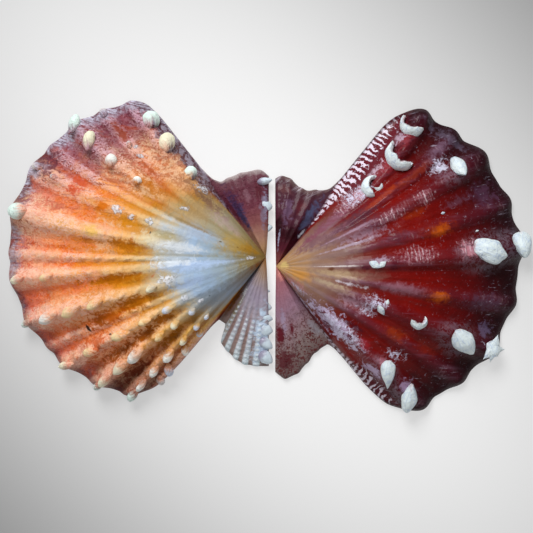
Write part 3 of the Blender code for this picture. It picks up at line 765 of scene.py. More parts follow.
print("stage: orange valve")
orangeLook = {
    # pigments along the growth of a rib's crest and of a groove, (growth, colour)
    "crest": [
        (0.00, (150, 125, 70)), (0.09, (164, 148, 104)), (0.17, (172, 188, 196)),
        (0.28, (178, 206, 238)), (0.38, (198, 208, 216)), (0.46, (224, 196, 148)),
        (0.56, (240, 180, 106)), (0.70, (250, 164, 82)), (0.84, (255, 158, 102)),
        (0.95, (234, 128, 106)), (1.00, (164, 80, 86)),
    ],
    "groove": [
        (0.00, (128, 98, 50)), (0.09, (150, 132, 88)), (0.18, (156, 168, 170)),
        (0.30, (152, 174, 200)), (0.40, (186, 172, 138)), (0.48, (202, 136, 40)),
        (0.58, (220, 136, 2)), (0.72, (238, 126, 0)), (0.86, (244, 118, 36)),
        (0.96, (176, 72, 64)), (1.00, (94, 38, 54)),
    ],
    "crestUpper": [
        (0.00, (150, 125, 70)), (0.12, (166, 150, 106)), (0.28, (180, 172, 148)),
        (0.40, (194, 162, 108)), (0.52, (214, 138, 62)), (0.66, (214, 114, 50)),
        (0.80, (188, 82, 58)), (0.92, (150, 62, 74)), (1.00, (108, 42, 60)),
    ],
    "grooveUpper": [
        (0.00, (128, 98, 50)), (0.12, (150, 130, 80)), (0.28, (150, 136, 98)),
        (0.40, (172, 130, 64)), (0.52, (196, 108, 26)), (0.66, (190, 82, 26)),
        (0.80, (146, 50, 42)), (0.92, (104, 36, 52)), (1.00, (74, 24, 42)),
    ],
    "crestLower": [
        (0.00, (150, 118, 70)), (0.12, (156, 152, 144)), (0.28, (170, 188, 210)),
        (0.40, (190, 186, 172)), (0.52, (222, 168, 74)), (0.70, (224, 150, 64)),
        (0.86, (210, 124, 80)), (1.00, (146, 70, 64)),
    ],
    "grooveLower": [
        (0.00, (128, 88, 40)), (0.12, (142, 130, 108)), (0.30, (140, 148, 154)),
        (0.42, (156, 118, 58)), (0.56, (180, 106, 0)), (0.72, (166, 74, 0)),
        (0.88, (112, 34, 4)), (1.00, (80, 22, 20)),
    ],
    "upperEar": [
        (0.00, (182, 144, 96)), (0.24, (166, 124, 106)), (0.42, (132, 78, 78)),
        (0.60, (108, 52, 66)), (0.84, (100, 48, 62)), (0.95, (114, 70, 80)),
        (1.00, (176, 160, 160)),
    ],
    "lowerEar": [
        (0.00, (150, 104, 54)), (0.16, (150, 126, 110)), (0.36, (158, 148, 164)),
        (0.60, (172, 164, 176)), (0.85, (196, 200, 208)), (1.00, (208, 226, 232)),
    ],
    # (name, colour, strength, ray, growth, ray size, growth size, ragged, soft)
    "patches": [
        ("umbo tan", (190, 156, 78), 0.85, 28, 0.12, 26, 0.13, 0.5, 0.9),
        ("umbo ochre", (178, 128, 30), 0.8, 30, 0.07, 26, 0.06, 0.5, 0.9),
        ("umbo brown", (150, 92, 34), 0.85, -60, 0.06, 34, 0.07, 0.6, 0.9),
        ("olive tongue", (182, 164, 110), 0.7, 15, 0.38, 5.5, 0.09, 0.7, 0.9),
        ("olive groove", (160, 150, 112), 0.5, 3.6, 0.28, 2.4, 0.14, 0.5, 0.9),
        ("fan core", (192, 216, 252), 0.95, -6, 0.26, 7.5, 0.20, 0.5, 0.9),
        ("fan glow", (232, 240, 248), 0.85, -2, 0.34, 5.0, 0.12, 1.0, 1.0),
        ("fan edge", (222, 228, 234), 0.9, 10, 0.33, 6.0, 0.15, 0.8, 0.9),
        ("fan lower", (172, 194, 228), 0.8, -19, 0.31, 5, 0.12, 0.8, 0.8),
        # painted shade: the lower side of the pale fan, turned from the light, laid on as grey
        ("grey lower", (140, 150, 158), 0.7, -37, 0.32, 9, 0.14, 0.6, 0.9),
        ("fan upper", (174, 184, 200), 0.7, 24, 0.27, 8, 0.10, 0.8, 0.9),
        ("olive upper", (168, 138, 94), 0.7, 40, 0.36, 9, 0.12, 0.8, 0.9),
        ("olive furrow", (150, 122, 72), 0.8, 29, 0.34, 2.4, 0.18, 0.7, 0.9),
        ("olive flank", (128, 92, 70), 0.85, 48.5, 0.38, 3.4, 0.20, 1.0, 0.8),
        ("tan flank", (190, 130, 92), 0.6, 46, 0.52, 4.0, 0.08, 1.0, 0.9),
        ("mauve web", (196, 172, 168), 0.6, 46, 0.24, 6, 0.12, 0.8, 0.9),
        ("cream arm", (232, 216, 176), 0.7, 12, 0.44, 5, 0.07, 0.9, 0.9),
        ("peach", (230, 140, 92), 0.75, 32, 0.73, 4.0, 0.08, 0.9, 0.9),
        ("pink left", (220, 124, 112), 0.5, 15, 0.88, 9, 0.10, 0.9, 0.9),
        ("bright left", (252, 184, 142), 0.75, 1, 0.86, 6, 0.10, 1.4, 0.8),
        ("bright low left", (244, 166, 112), 0.5, -12, 0.84, 5, 0.07, 1.4, 0.8),
        ("pale middle", (238, 194, 158), 0.6, 9, 0.61, 9, 0.10, 1.6, 0.8),
        ("ochre middle", (212, 138, 28), 0.5, -17, 0.68, 7, 0.12, 1.6, 0.8),
        ("red brown low", (168, 70, 8), 0.5, -28, 0.86, 6, 0.08, 1.6, 0.8),
        ("coral groove", (196, 70, 36), 0.8, 15.5, 0.86, 1.8, 0.12, 0.9, 0.8),
        ("long yellow mound", (236, 172, 84), 0.75, 11, 0.79, 2.6, 0.08, 0.9, 0.9),
        # painted shadow under the tip of the large scale on the ray at 11
        ("under the tip", (166, 84, 40), 0.8, 8.5, 0.93, 2.2, 0.05, 0.7, 0.9),
        ("rust crest", (160, 78, 56), 0.8, 50.5, 0.66, 2.6, 0.14, 0.9, 0.8),
        ("orange crest", (222, 128, 66), 0.6, 44, 0.72, 3.0, 0.10, 0.9, 0.8),
    ],
    # clear pigment without net or fibres
    "pools": [
        ("pool by the tongue", (190, 108, 0), 0.95, 7, 0.53, 4.2, 0.09, 1.0, 0.7),
        ("long pool", (194, 110, 0), 0.95, -8.5, 0.58, 3.0, 0.15, 1.0, 0.7),
        ("middle pool", (184, 102, 0), 0.95, -19.5, 0.56, 4.0, 0.10, 1.0, 0.7),
        ("outer pool", (196, 94, 4), 0.95, -21, 0.70, 3.4, 0.12, 1.1, 0.7),
        ("lower pool", (168, 94, 0), 0.95, -31.5, 0.54, 3.6, 0.09, 1.0, 0.7),
        ("lower pool end", (158, 80, 2), 0.95, -33, 0.65, 3.0, 0.10, 1.0, 0.7),
        ("low groove", (168, 82, 6), 0.9, -33.5, 0.78, 2.8, 0.10, 1.1, 0.8),
        ("lowest groove", (152, 88, 0), 0.9, -41.5, 0.60, 2.4, 0.12, 1.0, 0.8),
        ("brown groove", (110, 40, 14), 0.9, -41.5, 0.84, 2.4, 0.12, 1.1, 0.8),
        ("orange low left", (214, 96, 30), 0.85, -27, 0.80, 4.0, 0.08, 1.2, 0.8),
        ("upper gold", (206, 132, 34), 0.85, 31, 0.53, 3.0, 0.06, 0.9, 0.8),
        ("upper ochre", (198, 114, 28), 0.85, 36.5, 0.57, 3.2, 0.10, 0.9, 0.8),
        ("gold spot", (218, 138, 26), 0.9, 19, 0.55, 3.0, 0.05, 0.8, 0.7),
        ("yellow mound", (240, 190, 92), 0.85, 10.5, 0.66, 3.0, 0.05, 0.8, 0.9),
        ("gold by the mound", (204, 112, 10), 0.85, 7, 0.68, 1.8, 0.05, 0.8, 0.7),
        ("orange spot", (226, 116, 6), 0.95, 20, 0.66, 2.4, 0.04, 0.8, 0.7),
        ("red orange spot", (222, 76, 24), 0.85, 21, 0.79, 2.4, 0.04, 0.9, 0.8),
        ("coral spot", (204, 76, 40), 0.8, 24, 0.80, 2.4, 0.05, 0.9, 0.8),
        ("rust line", (184, 86, 38), 0.85, 41, 0.65, 1.2, 0.10, 0.8, 0.7),
        ("brown line", (150, 62, 38), 0.85, 42.5, 0.86, 1.4, 0.10, 0.8, 0.7),
    ],
    "spots": [
        ("plum corner", (92, 44, 62), 0.8, 24, 0.95, 5, 0.07, 1.2, 0.8),
        ("plum notch", (100, 52, 70), 0.7, 14, 0.98, 3, 0.04, 0.9, 0.8),
        ("black speck", (22, 12, 12), 0.95, -22, 0.79, 1.5, 0.008, 0.4, 0.4),
        ("brown speck", (84, 44, 26), 0.9, -26.5, 0.73, 0.5, 0.008, 0.3, 0.5),
        ("dark hair", (60, 50, 34), 0.9, 15.5, 0.45, 0.9, 0.004, 0.2, 0.5),
        ("olive speck", (88, 72, 34), 0.8, 24.5, 0.19, 1.3, 0.007, 0.2, 0.6),
        ("umbo speck", (104, 70, 20), 0.7, 25.5, 0.12, 1.6, 0.006, 0.2, 0.6),
        ("umbo dot", (104, 70, 20), 0.7, 28, 0.09, 1.6, 0.005, 0.2, 0.6),
        ("grey speck", (78, 86, 92), 0.7, -35.5, 0.31, 0.9, 0.006, 0.2, 0.6),
    ],
    # thin white crusts, (ray, growth, ray size, growth size)
    "crusts": [
        (-13, 0.39, 3.6, 0.035), (50.5, 0.46, 1.8, 0.035), (37, 0.40, 1.6, 0.016),
        (21, 0.47, 2.2, 0.020), (21, 0.60, 2.0, 0.024), (20, 0.54, 1.4, 0.014),
        (-27, 0.38, 2.0, 0.018), (-35, 0.36, 1.6, 0.016), (-58, 0.50, 3.0, 0.10),
        (42, 0.72, 0.8, 0.012), (43, 0.77, 0.8, 0.012), (-1, 0.06, 9, 0.018),
    ],
    "ears": [
        ("purple stripe", (66, 46, 80), 0.9, 60.5, 0.62, 7.0, 0.34, 0.9, 0.8),
        ("blue shade", (62, 58, 94), 0.8, 61, 0.50, 4.5, 0.18, 0.8, 0.8),
        ("hinge glint", (150, 146, 172), 0.8, 87, 0.62, 3.0, 0.20, 1.6, 0.6),
        ("maroon by the disc", (84, 28, 40), 0.8, 56, 0.60, 1.6, 0.34, 0.5, 0.7),
        ("mauve hinge", (124, 108, 128), 0.8, 84.5, 0.46, 4.5, 0.22, 0.8, 0.8),
        ("maroon hinge", (88, 32, 42), 0.8, 83, 0.74, 4.5, 0.12, 0.8, 0.8),
        ("mauve veil", (140, 100, 112), 0.6, 73, 0.72, 4.5, 0.10, 1.2, 0.8),
        # brown at the byssal notch, and further in a painted shadow under the disc's edge
        ("notch brown", (134, 86, 30), 0.9, -54.5, 0.66, 3.0, 0.30, 0.5, 0.8),
        ("olive rib", (150, 138, 104), 0.8, -60.5, 0.70, 3.0, 0.34, 0.6, 0.8),
        ("mauve inner ear", (146, 132, 150), 0.7, -76, 0.38, 12, 0.14, 0.8, 0.9),
        ("blue hinge", (196, 216, 238), 0.9, -86, 0.72, 8, 0.32, 1.0, 0.7),
    ],
    "coral": (232, 96, 36),
    "paleFleck": (255, 206, 184),
    "roseFleck": (222, 178, 196),
    "rose": (112, 40, 60),
    "rust": (168, 62, 26),
    # pale on the mounds and knots, partly a painted highlight
    "moundPaleAndHighlight": (254, 214, 170),
    "crust": (236, 238, 246),
    "lace": (206, 202, 222),
    "plum": (80, 26, 40),
    "maroon": (80, 28, 44),
    "rib": (138, 104, 92),
    "bead": (214, 224, 232),
    "shade": (150, 112, 86),
    "inside": (226, 196, 170),
    "insideRim": (176, 104, 84),
    "hollowEdge": (0.72, 0.98),            # growths between which the hollow side darkens
    "growthDrift": (0.16, 0.12),           # how far broad and fine noise move the pigments
    "rayDrift": (9.0, 5.0),
    "streaks": (0.9, 0.16, 0.20, 0.60, 0.25),    # fineness, run, come in, share before
    "crestEdge": (0.9, 0.6, 0.10, 0.80),         # ragged, streaky, from groove to crest
    "ribsComeIn": (0.25, 0.55, 0.4, 0.36),       # from, to, contrast and level before
    "roughness": (0.34, 0.56),
    "bump": 0.0002,
    "gloss": {"Specular IOR Level": 0.08, "Coat Weight": 0.06, "Coat Roughness": 0.20},
}


def orangeMaterial():
    look = orangeLook
    material, shader, place = startMaterial("orangeShell")
    at = shellPlace(place, look)
    growth, ray, crest, fine = at["grownTo"], at["rayTo"], at["onCrest"], at["fine"]
    coarse, grain, streaks = at["coarse"], at["grain"], at["streaks"]
    shift, shiftFine = at["shift"], at["shiftFine"]

    def bed(top, low):
        return blendColour(crest, colourRamp(growth, look[low]), colourRamp(growth, look[top]))

    upper = rangeOf(ray, 24.0, 36.0)
    lower = rangeOf(ray, -42.0, -28.0, 1.0, 0.0)
    colour = blendColour(upper, bed("crest", "groove"), bed("crestUpper", "grooveUpper"))
    colour = blendColour(lower, colour, bed("crestLower", "grooveLower"))
    colour = brush(colour, look["patches"], at)

    # coral clouds under pale fibres over the outer half, rose towards the upper margin
    outerHalf = rangeOf(growth, 0.50, 0.78)
    clouds = noiseOf(place, 0.55, 4.0, 0.6, 0.6)
    flecks = times(rangeOf(clouds, 0.45, 0.60), outerHalf, 0.48,
                   rangeOf(at["halo"], 0.2, 0.8, 1.0, 0.1), rangeOf(lower, 0.0, 1.0, 1.0, 0.4))
    rose = times(rangeOf(ray, 16.0, 32.0), rangeOf(growth, 0.70, 0.90))
    pale = blendColour(rose, srgb(look["paleFleck"]), srgb(look["roseFleck"]))
    mottle = rangeOf(plus(fine, plus(grain, -0.5), 0.6), 0.42, 0.60, 0.15, 0.80)
    # pale over the mounds and knots: partly their paler pigment, partly a painted highlight on
    # them
    moundPaleAndHighlight = times(rangeOf(at["halo"], 0.15, 0.85), mottle, rangeOf(at["growth"], 0.42, 0.56),
                  rangeOf(rose, 0.0, 1.0, 1.0, 0.2), rangeOf(lower, 0.0, 1.0, 0.8, 0.3))
    rust = times(rangeOf(ray, 8.0, 22.0), outerHalf, rangeOf(streaks, 0.02, 0.14), 0.7)
    fibres = alongRays(shellFibres, at, Fineness=1.1, Run=0.34, Slant=0.5)
    mist = rangeOf(grain, 0.46, 0.60)
    net = calc("MAXIMUM", times(fibres, 0.65), times(mist, 0.9))
    lowGroove = times(lower, rangeOf(crest, 0.3, 0.8, 1.0, 0.45))
    netCover = times(net, outerHalf, rangeOf(coarse, 0.38, 0.58, 0.45, 1.0),
                     rangeOf(crest, 0.1, 0.6, 0.3, 1.0),
                     rangeOf(lowGroove, 0.0, 1.0, 1.0, 0.08))
    colour = lay(colour, (flecks, look["coral"]), (times(rose, 0.86), look["rose"]),
                 (moundPaleAndHighlight, look["moundPaleAndHighlight"]), (rust, look["rust"]))
    colour = blendColour(netCover, colour, pale)
    colour = brush(colour, look["pools"] + look["spots"], at)

    # maroon on the upper flank under torn white lace
    lace = useGroup(whiteLace, Place=place, Size=1.1, Cover=0.50, Net=0.5)
    edge = times(rangeOf(ray, 49.8, 52.0), rangeOf(at["growth"], 0.36, 0.50))
    # a thin plum line at the margin under a fringe of pale hairs
    line = rangeOf(plus(at["growth"], shiftFine, 0.06, shift, 0.10), 0.95, 0.99)
    line = times(line, rangeOf(at["ray"], -6.0, 8.0, 0.45, 0.65))
    hairs = alongRays(shellFibres, at, Fineness=1.5, Run=0.16, Slant=0.1)
    fringe = times(rangeOf(at["ray"], -24.0, 20.0), rangeOf(coarse, 0.42, 0.56),
                   rangeOf(plus(at["growth"], shiftFine, 0.10), 0.92, 0.99),
                   plus(hairs, lace, 0.6), 0.65)
    colour = lay(colour, (times(edge, 0.95), look["maroon"]),
                 (times(lace, edge, 0.42), look["lace"]), (line, look["plum"]),
                 (fringe, look["lace"]))

    # the ears: maroon above; below, brown grooves between riblets with pale beads
    grooves = times(rangeOf(plus(at["crest"], shiftFine, 0.5), 0.10, 0.55, 1.0, 0.0),
                    rangeOf(at["growth"], 0.38, 0.75), 0.85)
    up = colourRamp(growth, look["upperEar"])
    down = lay(colourRamp(growth, look["lowerEar"]), (grooves, look["rib"]))
    colour = blendColour(rangeOf(at["ray"], 53.6, 54.8), colour, up)
    colour = blendColour(rangeOf(at["ray"], -53.6, -52.6, 1.0, 0.0), colour, down)
    colour = brush(colour, look["ears"], at)
    beads = rangeOf(plus(at["bead"], shiftFine, 0.6), 0.30, 0.72)

    # thin crusts of white lime, and faint streaks along the rays
    flakes = useGroup(whiteLace, Place=place, Size=0.5, Cover=0.75, Net=0.9)
    crusts = [(*crustAt, 1.2, 0.5) for crustAt in look["crusts"]]
    crust = times(mostOf(0.0, crusts, at), flakes, 0.8)
    colour = lay(colour, (times(beads, 0.9), look["bead"]), (crust, look["crust"]))
    colour = blendColour(rangeOf(streaks, -0.02, 0.22, 0.0, 0.14), colour,
                         srgb(look["shade"]), "MULTIPLY")

    # the tips of the scales
    hairy = plus(alongRays(rayStreaks, at, Fineness=3.0, Run=0.2), -0.5)
    tip = rangeOf(plus(at["tip"], shiftFine, 0.35, hairy, 0.8), 0.30, 0.86)
    tones = sorted(orangeScales["tones"].values())
    colour = blendColour(tip, colour, colourRamp(at["tone"], tones))

    ticks = alongRays(growthTicks, at, Spacing=0.75, Waver=0.5)
    height = plus(times(grain, 0.5), fine, 0.8, times(ticks, at["grown"]), 0.25, streaks, 0.35,
                  crust, 0.8, times(net, outerHalf), 0.25)
    height = times(height, rangeOf(at["growth"], 0.15, 0.55, 0.45, 1.0))
    finishMaterial(shader, look, hollowSide(colour, at, look), fine, height)
    return material


orangeShell = orangeMaterial()
addPiece("orangeValve", shellMesh(orangeValve), orangeShell, "orange_valve")


def startPiece():
    bm = bmesh.new()
    return bm, {name: bm.verts.layers.float.new(name) for name in fields}


def endPiece(bm, name):
    mesh = bpy.data.meshes.new(name)
    finishBmesh(bm, mesh)
    return mesh


def addBall(bm, sides, turn=Matrix()):
    return bmesh.ops.create_uvsphere(
        bm, u_segments=sides[0], v_segments=sides[1], radius=1, matrix=turn)["verts"]


polesAlong = Matrix.Rotation(math.pi / 2, 4, "X")    # a ball's poles at its two ends


def mark(vert, layers, **values):
    for name, value in values.items():
        vert[layers[name]] = value


def scaleMesh():
    # tongues that lie along the ribs, low and buried inwards, round and raised outwards
    look = orangeScales
    bm, layers = startPiece()
    scales = [(ray, heading, pale, *scale)
              for ray, heading, pale, row in look["rows"] for scale in row]
    for seed, (ray, heading, pale, at, width, length, tone) in enumerate(scales):
        turn = surfaceFrame(orangeValve, ray, at, heading)
        for vert in addBall(bm, look["sides"], polesAlong):
            x, y, z = vert.co
            outwards = (y + 1) / 2
            rough = noise.fractal(vert.co * 1.1 + Vector((seed * 3.7, 0, 0)), 0.9, 2.0, 2)
            rough = 1 + look["lumps"] * rough
            narrow = 1 - look["taper"] * (1 - outwards) ** 1.4
            narrow *= 1 - look["point"] * (1 - pale) * outwards ** 3
            raised = look["raised"] * outwards ** 1.5
            vert.co = turn @ (Vector((
                x * narrow * rough * look["broad"] * width / 2,
                y * rough * length / 2,
                (z * narrow * rough + raised) * width * look["height"],
            )) * mm)
            growth = at + y * length / look["spread"]
            mark(vert, layers, ray=ray + x * width, growth=growth, reach=growth * look["reach"],
                 halo=1.0, crest=1.0, tip=outwards + pale - 0.5, tone=look["tones"][tone][0])
    return endPiece(bm, "orangeScales")


addPiece("orangeScales", scaleMesh(), orangeShell)

hingeTeeth = {
    # (side, growth, width, reach past the margin, lean of the tip in degrees)
    "teeth": [
        (-90, 0.31, 0.9, 0.40, 5), (-90, 0.46, 1.8, 0.55, 10), (-90, 0.56, 1.7, 0.68, 10),
        (-90, 0.67, 2.2, 0.68, 12), (-90, 0.81, 1.8, 0.68, 38), (-90, 0.94, 2.1, 0.70, 40),
        (90, 0.36, 1.7, 0.75, 8), (90, 0.62, 2.4, 0.60, 0), (90, 0.94, 1.2, 0.55, 10),
    ],
    "root": 1.9,
    "middle": 1.15,          # height of a tooth's middle as a share of the hinge wall
    "thickness": 0.85,
    "broad": 0.56,
    "taper": 0.45,
    "droop": 0.12,
    "lumps": 0.12,
    "sides": (20, 14),
    "colour": (216, 232, 242),
    "foot": (150, 146, 168),
    "roughness": (0.3, 0.5),
    "bump": 0.0001,
    "gloss": {},
}


def toothMaterial():
    material, shader, place = startMaterial("hingeTooth")
    fine = noiseOf(place, 1.6, 4.0)
    tip = plus(shellInputs()["tip"], plus(fine, -0.5), 0.6)
    colour = blendColour(rangeOf(tip, 0.15, 0.55), srgb(hingeTeeth["foot"]),
                         srgb(hingeTeeth["colour"]))
    finishMaterial(shader, hingeTeeth, colour, fine, fine)
    return material


def toothMesh():
    bm, layers = startPiece()
    look = hingeTeeth
    for angle, growth, width, reach, lean in look["teeth"]:
        x, y = plan(orangeValve, np.array([angle]), np.array([growth]))
        foot = Vector((x[0], y[0], look["middle"] * law["hingeWall"])) * mm
        turn = Matrix.Translation(foot) @ Matrix.Rotation(math.radians(lean * angle / 90), 4, "Z")
        length = look["root"] + reach
        for vert in addBall(bm, look["sides"]):
            x, y, z = vert.co
            outwards = (x + 1) / 2
            rough = noise.noise(vert.co * 1.2 + Vector((growth * 40, 0, 0)))
            narrow = (1 - look["taper"] * outwards ** 2) * (1 + look["lumps"] * rough)
            vert.co = turn @ (Vector((
                outwards * length - look["root"],
                y * narrow * width * look["broad"],
                z * narrow * look["thickness"] - look["droop"] * outwards,
            )) * mm)
            vert[layers["tip"]] = outwards
    return endPiece(bm, "orangeTeeth")


addPiece("orangeTeeth", toothMesh(), toothMaterial())

redKnobs = {
    # (ray, growth, width, length, height, compass heading, how pointed, corners in plan,
    # how far they stand out, seed)
    "knobs": [
        (30, 0.87, 3.1, 4.3, 1.8, -76, 0.50, 4, 0.15, 1),
        (5.5, 0.84, 4.7, 6.0, 2.3, -12, 0.30, 5, 0.80, 2),
        (5.5, 0.98, 3.8, 4.6, 1.9, -92, 0.10, 3, 0.45, 3),
        (-22, 0.84, 4.0, 5.2, 2.2, -54, 0.30, 4, 0.35, 4),
        (-44, 0.74, 2.9, 5.0, 1.9, -88, 0.65, 3, 0.25, 6),
        (-45, 0.91, 2.8, 5.0, 2.0, -96, 0.10, 4, 0.40, 7),
    ],
    # the broken knob at the margin: spikes from one foot, (heading, length, width)
    "brokenKnob": (-21, 0.97, 1.6),
    "spikes": [(76, 2.5, 2.5), (-6, 2.1, 2.2), (-145, 2.5, 2.4), (-104, 2.2, 2.0),
               (-52, 1.5, 2.0)],
    # small broken scales: (ray, growth, width, length, height, heading)
    "flakes": [
        (5, 0.38, 1.3, 2.0, 0.40, -25), (5, 0.41, 1.0, 1.3, 0.35, 40),
        (-23, 0.47, 1.3, 2.0, 0.40, -70), (-18, 0.48, 0.7, 1.0, 0.30, 70),
        (20, 0.72, 0.5, 0.7, 0.22, 20), (11.5, 0.83, 0.4, 0.7, 0.22, 20),
    ],
    # how pointed, corners in plan, how far they stand out
    "spikeShape": (0.92, 3, 0.3),
    "flakeShape": (0.3, 4, 0.6),
    "foot": (2.4, 2.8, -60, 0.1, 5, 0.4, 5),     # under the spikes: width, length, heading, shape
    "lumps": 0.12,
    "taper": 0.25,
    "thickness": 0.7,
    "cornerRound": 0.12,
    "sides": (40, 28),
    "spikeSides": (20, 14),
    "footSides": (24, 16),
    "flakeSides": (22, 14),
    "white": (236, 248, 250),
    "pink": (202, 150, 160),
    "shade": (182, 202, 232),
    "hollow": (150, 96, 108),
    "roughness": (0.35, 0.55),
    "bump": 0.0002,
    "gloss": {"Specular IOR Level": 0.35},
}
for ray, at, width, *_rest in redKnobs["knobs"]:
    redValve["swellings"].append((ray, at - 0.02, width * 0.62, 0.45, 0, 0, 1.4))

redCups = {
    # (ray, growth, radius, heading of the opening, its tilt, how much is left, tear, seed)
    "cups": [
        (46.5, 0.57, 1.85, -8, 4, -0.02, 0.20, 2.0),
        (43.5, 0.59, 0.85, 120, 10, 0.10, 0.10, 5.0),
        (46, 0.76, 2.50, 44, 4, -0.22, 0.34, 8.0),
        (48, 0.925, 2.20, 52, 4, -0.28, 0.28, 12.0),
        (-21.5, 0.63, 1.35, 88, 14, 0.05, 0.22, 15.0),
    ],
    "arms": 0.42,            # how far the arms of the torn edge reach round
    "wall": 0.60,
    "rise": 0.80,            # height of a cup as a share of its radius
    "sink": 0.25,
    "lumps": 0.10,
    "sides": (56, 36),
    # the shell bulges inside the open side of the two large cups: (heading, radius, height)
    "bulges": [(46, 0.76, 40, 1.5, 0.75), (48, 0.93, 50, 1.4, 0.65)],
}
for ray, at, heading, radius, height in redCups["bulges"]:
    east, north = math.cos(math.radians(heading)), math.sin(math.radians(heading))
    redValve["swellings"].append(
        (ray, at, radius, height, 0.9 * radius * east, 0.9 * radius * north, 1.0))

